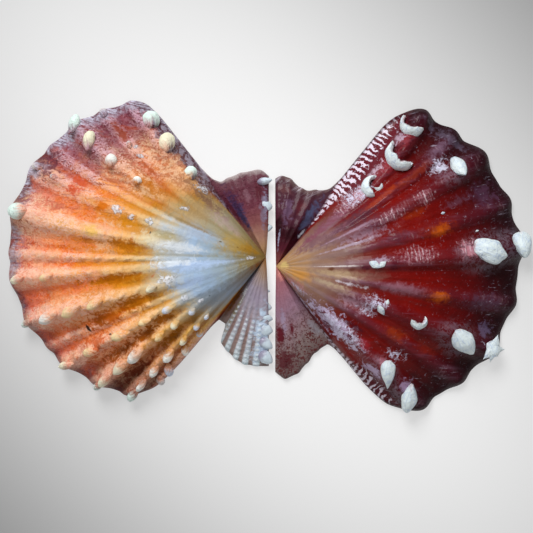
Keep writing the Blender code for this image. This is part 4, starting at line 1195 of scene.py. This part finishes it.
print("stage: red valve")
redLook = {
    "crest": [
        (0.00, (214, 182, 134)), (0.07, (188, 156, 130)), (0.16, (160, 134, 126)),
        (0.28, (138, 104, 110)), (0.38, (112, 56, 68)), (0.48, (110, 30, 40)),
        (0.62, (110, 22, 28)), (0.78, (90, 16, 26)), (0.92, (66, 12, 26)), (1.00, (36, 8, 18)),
    ],
    "groove": [
        (0.00, (190, 136, 64)), (0.08, (178, 130, 74)), (0.16, (156, 118, 88)),
        (0.28, (132, 86, 70)), (0.36, (116, 44, 36)), (0.44, (116, 14, 10)),
        (0.60, (122, 8, 2)), (0.80, (86, 3, 4)), (0.92, (50, 2, 8)), (1.00, (26, 2, 8)),
    ],
    "upperEar": [
        (0.00, (150, 84, 80)), (0.20, (84, 28, 42)), (0.40, (50, 10, 20)), (0.60, (78, 34, 50)),
        (0.80, (76, 36, 50)), (0.94, (76, 42, 52)), (1.00, (104, 80, 80)),
    ],
    "lowerEar": [
        (0.00, (184, 116, 110)), (0.20, (152, 98, 110)), (0.45, (150, 116, 134)),
        (0.62, (146, 118, 126)), (0.80, (136, 118, 116)), (1.00, (104, 84, 82)),
    ],
    "patches": [
        ("cream umbo", (228, 200, 130), 0.85, 10, 0.03, 40, 0.03, 0.5, 0.8),
        ("mauve upper umbo", (126, 88, 96), 0.9, 41, 0.22, 15, 0.17, 0.8, 0.9),
        ("rose lower umbo", (182, 124, 120), 0.8, -42, 0.12, 9, 0.10, 0.9, 0.9),
        ("amber umbo", (206, 142, 60), 0.85, -20, 0.11, 20, 0.08, 0.4, 1.0),
        ("tan tongue", (180, 152, 120), 0.85, -5, 0.24, 8, 0.15, 0.6, 0.9),
        ("tongue end", (132, 88, 80), 0.6, -4, 0.38, 6, 0.09, 0.6, 0.9),
        ("upper tan", (138, 108, 100), 0.75, 17, 0.25, 8, 0.14, 0.7, 0.9),
        ("upper mauve", (112, 78, 84), 0.7, 32, 0.25, 9, 0.12, 0.8, 0.9),
        ("upper maroon", (88, 40, 54), 0.85, 37, 0.40, 10, 0.15, 0.8, 0.9),
        ("lower tan", (168, 138, 118), 0.8, -20, 0.25, 6, 0.13, 0.7, 0.9),
        # the two rib lines are pale lines along the crests, partly painted highlights on them
        ("rib line", (188, 168, 188), 0.8, 20.5, 0.32, 1.6, 0.20, 0.6, 0.8),
        ("upper rib line", (176, 148, 168), 0.7, 30, 0.34, 1.8, 0.16, 0.6, 0.8),
        ("umbo line", (220, 208, 206), 0.9, 4.4, 0.24, 1.2, 0.12, 0.5, 0.7),
        ("lower line", (208, 198, 208), 0.9, -13.0, 0.30, 2.2, 0.08, 1.0, 0.8),
        ("upper sheen", (170, 140, 160), 0.6, 24, 0.38, 5.0, 0.12, 1.2, 0.9),
        ("cream tongue", (190, 168, 140), 0.7, -18, 0.22, 5.0, 0.10, 0.8, 0.9),
        ("mauve lower", (172, 134, 150), 0.75, -26, 0.37, 7, 0.11, 1.1, 0.9),
        ("mauve middle", (156, 112, 128), 0.6, -9, 0.50, 4, 0.14, 0.7, 0.9),
        ("pink upper rib", (132, 74, 90), 0.85, 47.5, 0.28, 4, 0.22, 0.7, 0.8),
        ("maroon furrow", (106, 22, 34), 0.8, 42.5, 0.40, 1.8, 0.18, 0.7, 0.7),
        ("brown dot", (104, 56, 34), 0.9, 1, 0.22, 3.4, 0.02, 0.6, 0.7),
        ("brown dot two", (104, 52, 40), 0.85, 1, 0.30, 2.8, 0.02, 0.6, 0.7),
        ("maroon dot", (88, 22, 40), 0.9, 3, 0.35, 2.6, 0.03, 0.8, 0.7),
        ("maroon between", (88, 18, 34), 0.9, 4, 0.46, 3.4, 0.03, 0.8, 0.7),
        ("lilac by the flake", (190, 170, 190), 0.7, 7, 0.40, 2.4, 0.05, 1.2, 0.7),
        ("lilac shoulder", (190, 170, 200), 0.95, -45.5, 0.37, 7, 0.16, 1.8, 0.5),
        ("maroon hollow", (92, 12, 26), 0.9, -38.5, 0.47, 2.4, 0.06, 1.4, 0.7),
        ("maroon dip", (98, 16, 32), 0.9, -46, 0.32, 2.0, 0.025, 1.4, 0.6),
        ("maroon dip two", (94, 14, 28), 0.9, -43, 0.50, 2.6, 0.04, 1.4, 0.5),
        ("maroon dip three", (90, 14, 30), 0.9, -49.5, 0.42, 1.8, 0.04, 1.6, 0.5),
        ("lilac crust", (206, 194, 218), 0.9, -49, 0.27, 1.6, 0.03, 1.8, 0.4),
        ("lilac crust two", (200, 186, 214), 0.9, -44.5, 0.37, 2.4, 0.025, 1.8, 0.4),
        ("lilac crust three", (198, 184, 212), 0.9, -48, 0.47, 2.0, 0.035, 1.8, 0.4),
        ("lilac crust four", (196, 180, 206), 0.85, -47, 0.56, 1.6, 0.03, 1.8, 0.4),
        ("lilac by knob six", (186, 166, 196), 0.85, -47.5, 0.72, 1.8, 0.06, 1.6, 0.5),
        ("lilac by knob seven", (160, 136, 168), 0.7, -43, 0.86, 1.8, 0.03, 2.2, 0.6),
        ("blood line", (88, 14, 26), 0.85, -53.5, 0.40, 1.4, 0.30, 0.8, 0.7),
        ("deep red low", (104, 0, 0), 0.85, -19.5, 0.56, 4.0, 0.07, 0.6, 0.8),
        ("deep red middle", (98, 2, 2), 0.7, 1.5, 0.60, 4.5, 0.16, 0.6, 0.9),
        ("black red", (44, 2, 6), 0.75, 0, 0.90, 5, 0.12, 0.6, 0.9),
        ("amber glow", (144, 38, 6), 0.9, 15, 0.66, 3.4, 0.10, 0.5, 0.95),
        ("amber glint", (196, 88, 10), 0.9, 15, 0.67, 2.4, 0.06, 0.6, 1.0),
        ("amber glow low", (148, 38, 4), 0.9, -10, 0.66, 4.0, 0.08, 0.5, 0.95),
        ("amber glint low", (206, 96, 4), 0.9, -10, 0.67, 2.8, 0.05, 0.6, 1.0),
        ("rust glint", (150, 44, 10), 0.8, 24.0, 0.61, 2.6, 0.08, 0.7, 0.95),
        ("rust groove", (160, 54, 18), 0.8, 38.5, 0.56, 1.8, 0.16, 0.7, 0.8),
        ("rust groove end", (136, 44, 26), 0.7, 37.0, 0.74, 1.8, 0.14, 0.7, 0.8),
        ("rust lower", (150, 50, 16), 0.75, -30, 0.60, 4, 0.07, 0.8, 0.9),
        ("rust lowest", (136, 34, 20), 0.6, -29, 0.76, 3, 0.07, 0.8, 0.9),
        ("dusk end", (84, 54, 72), 0.8, -9.5, 0.86, 3.8, 0.11, 0.9, 0.9),
        ("dusk upper end", (84, 54, 78), 0.6, 20, 0.91, 4.4, 0.08, 0.9, 0.9),
        ("dusk furrow", (112, 84, 104), 0.8, 37.5, 0.88, 2.2, 0.10, 0.9, 0.9),
        ("dusk furrow two", (98, 66, 84), 0.5, 21.5, 0.80, 2.0, 0.08, 1.0, 0.9),
        ("dusk rim", (96, 84, 104), 0.6, 38, 0.96, 7, 0.03, 1.4, 0.8),
        ("dusk by the star", (110, 96, 128), 0.55, -17, 0.92, 2.4, 0.04, 1.8, 0.8),
        ("pink by the knob", (200, 130, 142), 0.8, 6.5, 0.76, 3.0, 0.04, 1.2, 0.8),
        ("pink knob foot", (176, 108, 120), 0.8, -42.5, 0.68, 2.4, 0.03, 1.0, 0.8),
        ("white collar", (210, 214, 232), 0.9, 33, 0.83, 1.8, 0.03, 1.0, 0.7),
        ("pink cup foot", (206, 160, 176), 0.8, 47, 0.51, 3.4, 0.05, 1.4, 0.7),
        ("red flank", (150, 48, 58), 0.7, 47, 0.68, 3.0, 0.10, 0.8, 0.8),
        ("red flank two", (146, 50, 58), 0.7, 47.5, 0.84, 2.6, 0.06, 0.8, 0.8),
        ("red low flank", (150, 34, 44), 0.7, -41.5, 0.56, 3.4, 0.05, 0.8, 0.8),
        ("plum upper rib", (98, 52, 68), 0.7, 27, 0.46, 4.5, 0.10, 1.0, 0.9),
        ("plum upper rib two", (92, 40, 54), 0.7, 17, 0.50, 3.6, 0.08, 1.0, 0.9),
        # lilac beside the cups, partly crust and partly a painted sheen
        ("lilac by the cups", (206, 186, 204), 0.7, 49.5, 0.66, 1.8, 0.05, 1.8, 0.5),
        ("lilac by the top cup", (196, 176, 196), 0.7, 49.0, 0.84, 1.4, 0.04, 1.8, 0.5),
    ],
    "ears": [
        ("mauve veil", (108, 80, 106), 0.8, 78, 0.64, 7, 0.18, 1.2, 0.7),
        ("dark hinge", (40, 6, 16), 0.9, 85.5, 0.44, 5, 0.17, 0.8, 0.6),
        ("dark crook", (42, 6, 16), 0.9, 67, 0.42, 8, 0.14, 0.6, 0.7),
        ("hinge glint", (156, 152, 178), 0.8, 84, 0.30, 2.0, 0.13, 1.4, 0.6),
        ("blue edge", (78, 84, 116), 0.9, 58, 0.66, 4.0, 0.30, 0.8, 0.8),
        ("pale glint", (204, 208, 220), 0.85, 55.5, 0.44, 1.3, 0.07, 0.9, 0.6),
        ("maroon mid", (96, 36, 44), 0.8, 68, 0.78, 6, 0.12, 0.9, 0.9),
        ("brown corner", (106, 62, 64), 0.7, 84, 0.86, 8, 0.09, 0.9, 0.9),
        ("rose root", (206, 132, 124), 0.8, -62, 0.10, 24, 0.09, 0.8, 0.8),
        ("grey streak", (160, 142, 166), 0.75, -82, 0.50, 3.0, 0.14, 1.2, 0.8),
        ("blood blotch", (92, 12, 28), 0.95, -86.5, 0.62, 4.5, 0.12, 0.9, 0.6),
        ("blood blotch two", (96, 14, 30), 0.9, -76.0, 0.60, 3.0, 0.07, 0.9, 0.8),
        ("blood corner", (84, 18, 30), 0.85, -84, 0.84, 8, 0.12, 1.3, 0.7),
        ("grey patch", (150, 146, 156), 0.7, -58.5, 0.78, 4, 0.12, 1.0, 0.9),
    ],
    # where growth lines show, (ray, growth, ray size, growth size)
    "ticked": [
        (7.4, 0.55, 4.2, 0.09), (28.0, 0.67, 3.4, 0.05), (27.5, 0.51, 4.2, 0.08),
        (7.2, 0.76, 3.4, 0.05), (47.5, 0.45, 4.0, 0.10),
    ],
    # where white lace shows, (ray, growth, ray size, growth size, ragged, soft)
    "laced": [
        (-44.5, 0.42, 6.0, 0.17, 0.6, 0.5), (-21, 0.44, 6.5, 0.06, 0.9, 0.7),
        (47.5, 0.50, 4.5, 0.09, 0.6, 0.5), (-37, 0.70, 3.0, 0.05, 1.0, 0.7),
        (34, 0.83, 2.6, 0.06, 1.0, 0.7), (-48, 0.14, 8.0, 0.08, 0.8, 0.8),
        # the entry at (-53, 0.34) is white specks on the ridge by the lower ear, partly painted
        # glints
        (-53, 0.34, 1.4, 0.16, 1.2, 0.6), (-27, 0.44, 3.0, 0.05, 1.4, 0.7),
    ],
    # mauve streaks on the crests, partly a painted sheen
    "mauveAndSheen": (150, 112, 136),
    "tick": (228, 196, 204),
    "tickGlow": (176, 118, 130),
    "lace": (218, 212, 236),
    "stripe": (230, 218, 234),
    "stripeDark": (100, 26, 38),
    "dimStripe": (206, 194, 208),
    "dimDark": (78, 14, 26),
    "scratch": (188, 178, 198),
    "maroon": (40, 6, 16),
    "speck": (92, 36, 38),
    "inside": (214, 178, 172),
    "insideRim": (112, 40, 46),
    "hollowEdge": (0.70, 0.97),
    "growthDrift": (0.16, 0.08),
    "rayDrift": (0.0, 4.0),
    "streaks": (0.8, 0.14, 0.10, 0.50, 0.4),
    "crestEdge": (0.8, 0.8, 0.05, 0.95),
    "ribsComeIn": (0.15, 0.45, 0.45, 0.30),
    "roughness": (0.26, 0.46),
    "bump": 0.00016,
    "gloss": {"Specular IOR Level": 0.07, "Coat Weight": 0.12, "Coat Roughness": 0.10},
}


def redMaterial():
    look = redLook
    material, shader, place = startMaterial("redShell")
    at = shellPlace(place, look)
    growth, ray, crest, fine = at["grownTo"], at["rayTo"], at["onCrest"], at["fine"]
    coarse, grain, streaks = at["coarse"], at["grain"], at["streaks"]
    shift, shiftFine = at["shift"], at["shiftFine"]
    colour = blendColour(crest, colourRamp(growth, look["groove"]),
                         colourRamp(growth, look["crest"]))
    colour = brush(colour, look["patches"], at)

    # mauve streaks along the crests, partly the shell's own mauve and partly a painted sheen, and
    # growth lines on a few of them
    mauveSheenMask = times(rangeOf(streaks, 0.0, 0.2), rangeOf(growth, 0.14, 0.30), crest,
                 rangeOf(growth, 0.35, 0.65, 0.5, 0.14))
    ticks = alongRays(growthTicks, at, Spacing=0.58, Waver=0.5)
    tickCover = times(rangeOf(at["crest"], 0.45, 0.9), rangeOf(coarse, 0.52, 0.62),
                      rangeOf(at["growth"], 0.4, 0.55), 0.12)
    ticked = [(*tickAt, 0.9, 0.7) for tickAt in look["ticked"]]
    tickCover = mostOf(tickCover, ticked, at, 0.9)
    glow = times(tickCover, rangeOf(grain, 0.30, 0.66), 0.75)
    ticks = times(ticks, tickCover)
    colour = lay(colour, (mauveSheenMask, look["mauveAndSheen"]), (glow, look["tickGlow"]),
                 (times(ticks, rangeOf(grain, 0.36, 0.56, 0.4, 1.0)), look["tick"]))

    # torn stripes along both flanks, widest at the margin
    reach = plus(at["reach"], shift, 3.0, shiftFine, 1.6)
    turns = plus(times(reach, 2 * math.pi), at["ray"], 0.5)
    bands = plus(calc("SINE", turns), shiftFine, 3.0)
    upStripes = rangeOf(plus(bands, rangeOf(at["ray"], 48.8, 53.6, -1.7, 0.35)), -0.15, 0.25)
    downStripes = rangeOf(plus(bands, rangeOf(at["ray"], -54.0, -47.5, 0.3, -1.0)), -0.1, 0.3)
    upFlank = times(rangeOf(ray, 48.4, 50.2), rangeOf(growth, 0.46, 0.56))
    downFlank = times(rangeOf(ray, -49.5, -47.0, 0.95, 0.0), rangeOf(at["growth"], 0.66, 0.76))
    zebra = blendColour(upStripes, srgb(look["stripeDark"]), srgb(look["stripe"]))
    dim = blendColour(downStripes, srgb(look["dimDark"]), srgb(look["dimStripe"]))
    colour = blendColour(upFlank, colour, zebra)
    colour = blendColour(downFlank, colour, dim)

    # white lace on the lower shoulder and by the cups, crumbs and scratches further out
    lace = useGroup(whiteLace, Place=place, Size=0.9, Cover=0.54, Net=0.8)
    laceCover = times(rangeOf(at["halo"], 0.1, 0.5, 0.0, 0.10),
                      rangeOf(at["ray"], 38.0, 42.0, 1.0, 0.0))
    lace = times(lace, mostOf(laceCover, look["laced"], at))
    crumbs = useGroup(whiteLace, Place=place, Size=0.7, Cover=0.10, Net=0.2)
    crumbs = times(crumbs, rangeOf(at["growth"], 0.45, 0.7), 0.7)
    scratches = alongRays(rayStreaks, at, Fineness=2.4, Run=0.5)
    scratches = times(rangeOf(scratches, 0.60, 0.70), rangeOf(growth, 0.80, 0.92),
                      rangeOf(coarse, 0.45, 0.60), 0.6)
    line = times(rangeOf(plus(at["growth"], shiftFine, 0.05), 0.95, 0.99), 0.7)
    colour = lay(colour, (lace, look["lace"]), (crumbs, look["lace"]),
                 (scratches, look["scratch"]), (line, look["maroon"]))

    # the ears, the lower one speckled
    colour = blendColour(rangeOf(at["ray"], 53.4, 54.6), colour,
                         colourRamp(growth, look["upperEar"]))
    specks = rangeOf(plus(grain, shiftFine, 0.8), 0.50, 0.58)
    specks = times(specks, rangeOf(growth, 0.36, 0.80, 0.15, 0.90))
    down = lay(colourRamp(growth, look["lowerEar"]), (specks, look["speck"]))
    colour = blendColour(rangeOf(at["ray"], -55.4, -54.2, 1.0, 0.0), colour, down)
    colour = brush(colour, look["ears"], at)
    fringe = times(rangeOf(at["ray"], 54.0, 57.0), rangeOf(at["growth"], 0.86, 0.98),
                   rangeOf(streaks, 0.0, 0.16), 0.7)
    colour = lay(colour, (fringe, look["stripe"]))

    height = plus(times(grain, 0.35), fine, 0.8, ticks, 0.6, streaks, 0.5, lace, 0.3)
    height = times(height, rangeOf(at["growth"], 0.10, 0.45, 0.45, 1.0))
    finishMaterial(shader, look, hollowSide(colour, at, look), fine, height)
    return material


redShell = redMaterial()
addPiece("redValve", shellMesh(redValve), redShell, "red_valve")


def knobMaterial():
    look = redKnobs
    material, shader, place = startMaterial("whiteKnob")
    at = shellInputs()
    fine = noiseOf(place, 1.2, 5.0, 0.65, 0.8)
    grain = noiseOf(place, 5.0, 3.0)
    ridges = noiseOf(vectorOf(times(at["ray"], 0.055), times(at["reach"], 0.3)), 1.0, 3.0, 0.6)
    base = rangeOf(plus(at["tip"], plus(fine, -0.5), 0.7), -0.15, 0.10)
    hollow = times(at["under"], rangeOf(fine, 0.40, 0.62, 1.0, 0.55))
    colour = lay(blendColour(base, srgb(look["pink"]), srgb(look["white"])),
                 (rangeOf(fine, 0.48, 0.66, 0.0, 0.6), look["shade"]),
                 (rangeOf(ridges, 0.50, 0.68, 0.0, 0.35), look["shade"]),
                 (hollow, look["hollow"]))
    finishMaterial(shader, look, colour, fine, plus(fine, grain, 0.3, ridges, 0.8))
    return material


def addKnob(bm, layers, turn, width, length, height, point, corners, stand, seed, sides):
    # a rounded lump that narrows towards its end, with a few blunt corners in plan
    step = 2 * math.pi / corners
    mean = (1 + math.cos(step / 2)) / 2
    for vert in addBall(bm, sides, polesAlong):
        x, y, z = vert.co
        outwards = (y + 1) / 2
        rough = noise.fractal(vert.co * 0.9 + Vector((seed * 5.1, 0, 0)), 0.9, 2.0, 3)
        rough = 1 + redKnobs["lumps"] * rough
        toward = (math.atan2(x, y) + step / 2) % step - step / 2
        toward = min(math.hypot(toward, redKnobs["cornerRound"]), step / 2)
        polygon = math.cos(step / 2) / math.cos(toward - step / 2) / mean
        spread = rough * (1 + stand * (polygon - 1))
        narrow = (1 - point * outwards ** 1.8) * (1 - redKnobs["taper"] * (1 - outwards) ** 2)
        raised = 0.3 * outwards - 0.1
        vert.co = turn @ (Vector((
            x * narrow * spread * width / 2,
            y * spread * length / 2,
            (z * narrow * rough + raised) * height * redKnobs["thickness"],
        )) * mm)
        mark(vert, layers, ray=math.degrees(math.atan2(x, z)), reach=y * length / 2, tip=outwards)


def knobMesh():
    look = redKnobs
    bm, layers = startPiece()
    for ray, at, width, length, height, heading, *shape in look["knobs"]:
        turn = surfaceFrame(redValve, ray, at, heading)
        addKnob(bm, layers, turn, width, length, height, *shape, look["sides"])
    ray, at, height = look["brokenKnob"]
    for heading, length, width in look["spikes"]:
        turn = surfaceFrame(redValve, ray, at, heading)
        turn = turn @ Matrix.Translation((0, length * 0.40 * mm, 0.3 * mm))
        addKnob(bm, layers, turn, width, length * 1.2, height * 0.6, *look["spikeShape"],
                heading, look["spikeSides"])
    width, length, heading, *shape = look["foot"]
    turn = surfaceFrame(redValve, ray, at, heading)
    addKnob(bm, layers, turn, width, length, height, *shape, look["footSides"])
    return endPiece(bm, "redKnobs")


whiteKnob = knobMaterial()
addPiece("redKnobs", knobMesh(), whiteKnob)


def flakeMesh():
    bm, layers = startPiece()
    for ray, at, width, length, height, heading in redKnobs["flakes"]:
        turn = surfaceFrame(redValve, ray, at, heading)
        addKnob(bm, layers, turn, width, length, height, *redKnobs["flakeShape"], ray,
                redKnobs["flakeSides"])
    return endPiece(bm, "redFlakes")


addPiece("redFlakes", flakeMesh(), whiteKnob)


def tearAt(place, rise, tear, seed):
    # how far the edge of a broken cup is torn back at a place
    a, b = place.x, place.dot(rise)
    coarse = noise.noise(Vector((a * 1.5 + seed, b * 1.5, seed)))
    fine = noise.noise(Vector((a * 4.5, b * 4.5 + seed, 3.1)))
    return tear * (coarse + 0.4 * fine) - redCups["arms"] * a * a


def cupMesh():
    # hollow knobs broken open: a ball cut along a torn edge and given its wall
    look = redCups
    bm, layers = startPiece()
    for ray, at, radius, heading, tilt, left, tear, seed in look["cups"]:
        turn = surfaceFrame(redValve, ray, at, heading)
        part = bmesh.new()
        under = part.verts.layers.float.new("under")
        addBall(part, look["sides"])
        out = Vector((0, math.cos(math.radians(tilt)), math.sin(math.radians(tilt))))
        rise = Vector((0, -out.z, out.y))
        for vert in part.verts:
            vert.co += out * tearAt(vert.co, rise, tear, seed)
        bmesh.ops.bisect_plane(part, geom=part.verts[:] + part.edges[:] + part.faces[:],
                               plane_co=out * left, plane_no=out, clear_outer=True)
        for vert in part.verts:
            vert.co -= out * tearAt(vert.co, rise, tear, seed)
        bmesh.ops.recalc_face_normals(part, faces=part.faces)
        wall = look["wall"] / radius
        bmesh.ops.solidify(part, geom=part.faces[:], thickness=wall)
        size = max(vert.co.length for vert in part.verts)
        for vert in part.verts:
            vert[under] = 1.0 if vert.co.length < size - wall * 0.6 else 0.0
            vert.co *= 1 + look["lumps"] * noise.noise(vert.co * 1.3 + Vector((seed, 0, 0)))
            vert.co = turn @ (Vector((
                vert.co.x * radius, vert.co.y * radius,
                vert.co.z * radius * look["rise"] - look["sink"])) * mm)
        made = bpy.data.meshes.new("cup")
        part.to_mesh(made)
        part.free()
        bm.from_mesh(made)
        bpy.data.meshes.remove(made)
    for vert in bm.verts:
        vert[layers["tip"]] = 1.0
    return endPiece(bm, "redCups")


addPiece("redCups", cupMesh(), whiteKnob)

print("stage: studio")
studio = {
    "floorSize": 1.6,
    "floorDrop": 0.00008,
    "pale": (250, 250, 250),
    "corner": (126, 126, 126),
    "paleRadii": (68.0, 118.0),      # how far the pale middle spreads, in mm, on each diagonal
    "paleAside": 4.0,                # and how far it stands off the second diagonal
    "ownLight": 0.6,         # how much of the floor's tone the camera sees without shadow
    "world": 0.28,
    # (power, size, place) of each lamp
    "lights": {
        "keyLight": (1.50, 0.22, (-0.09, 0.26, 0.30)),
        "fillLight": (0.27, 0.5, (0.10, -0.40, 0.35)),
    },
    "cameraPlace": (-0.00048, -0.00176, 0.2375),
    "lens": 100.0,
    "sensor": 36.0,
}


def floorMaterial():
    # pale in the middle and greyer towards two corners, a painted falloff of the light; the
    # camera sees part of that tone as a painted glow that needs no lamp, so the shadow stays
    # light
    material, shader, place = startMaterial("paleFloor")
    apart = newNode("ShaderNodeSeparateXYZ")
    feed(apart.inputs[0], place)
    x, y = apart.outputs[0], apart.outputs[1]
    rising, falling = (math.sqrt(0.5) / radius for radius in studio["paleRadii"])
    rising = times(plus(x, y), rising)
    falling = times(plus(plus(x, y, -1.0), -studio["paleAside"]), falling)
    far = calc("SQRT", plus(times(rising, rising), times(falling, falling)))
    colour = blendColour(rangeOf(far, 0.10, 1.20), srgb(studio["pale"]), srgb(studio["corner"]))
    feed(shader.inputs["Base Color"], colour)
    feed(shader.inputs["Roughness"], 0.9)
    feed(shader.inputs["Specular IOR Level"], 0.1)
    glow = newNode("ShaderNodeEmission")
    feed(glow.inputs["Color"], colour)
    rays = newNode("ShaderNodeLightPath").outputs
    seen = calc("MAXIMUM", rays["Is Camera Ray"], rays["Is Glossy Ray"])
    seen = times(calc("MAXIMUM", seen, rays["Is Transmission Ray"]), studio["ownLight"])
    mixed = feedAll(newNode("ShaderNodeMixShader"), seen, shader.outputs[0], glow.outputs[0])
    feed(material.node_tree.get_output_node("ALL").inputs[0], mixed)
    return material


def addObject(name, data, place=(0, 0, 0)):
    made = bpy.data.objects.new(name, data)
    bpy.context.scene.collection.objects.link(made)
    made.location = place
    return made


bm = bmesh.new()
bmesh.ops.create_grid(bm, x_segments=4, y_segments=4, size=studio["floorSize"] / 2)
bmesh.ops.translate(bm, verts=bm.verts, vec=(0, 0, -studio["floorDrop"]))
floorMesh = bpy.data.meshes.new("floor")
bm.to_mesh(floorMesh)
bm.free()
floorMesh.materials.append(floorMaterial())
addObject("floor", floorMesh)

world = bpy.data.worlds.new("studioLight")
bpy.context.scene.world = world
world.use_nodes = True
background = world.node_tree.nodes["Background"].inputs
background["Color"].default_value = (1, 1, 1, 1)
background["Strength"].default_value = studio["world"]

for name, (power, size, place) in studio["lights"].items():
    lamp = bpy.data.lights.new(name, "AREA")
    lamp.shape = "DISK"
    lamp.size = size
    lamp.energy = power
    turned = (-Vector(place)).to_track_quat("-Z", "Y").to_euler()
    addObject(name, lamp, place).rotation_euler = turned

cameraData = bpy.data.cameras.new("camera")
cameraData.lens = studio["lens"]
cameraData.sensor_width = studio["sensor"]
cameraData.clip_start = 0.01
camera = addObject("camera", cameraData, studio["cameraPlace"])
bpy.context.scene.camera = camera

print("stage: done")
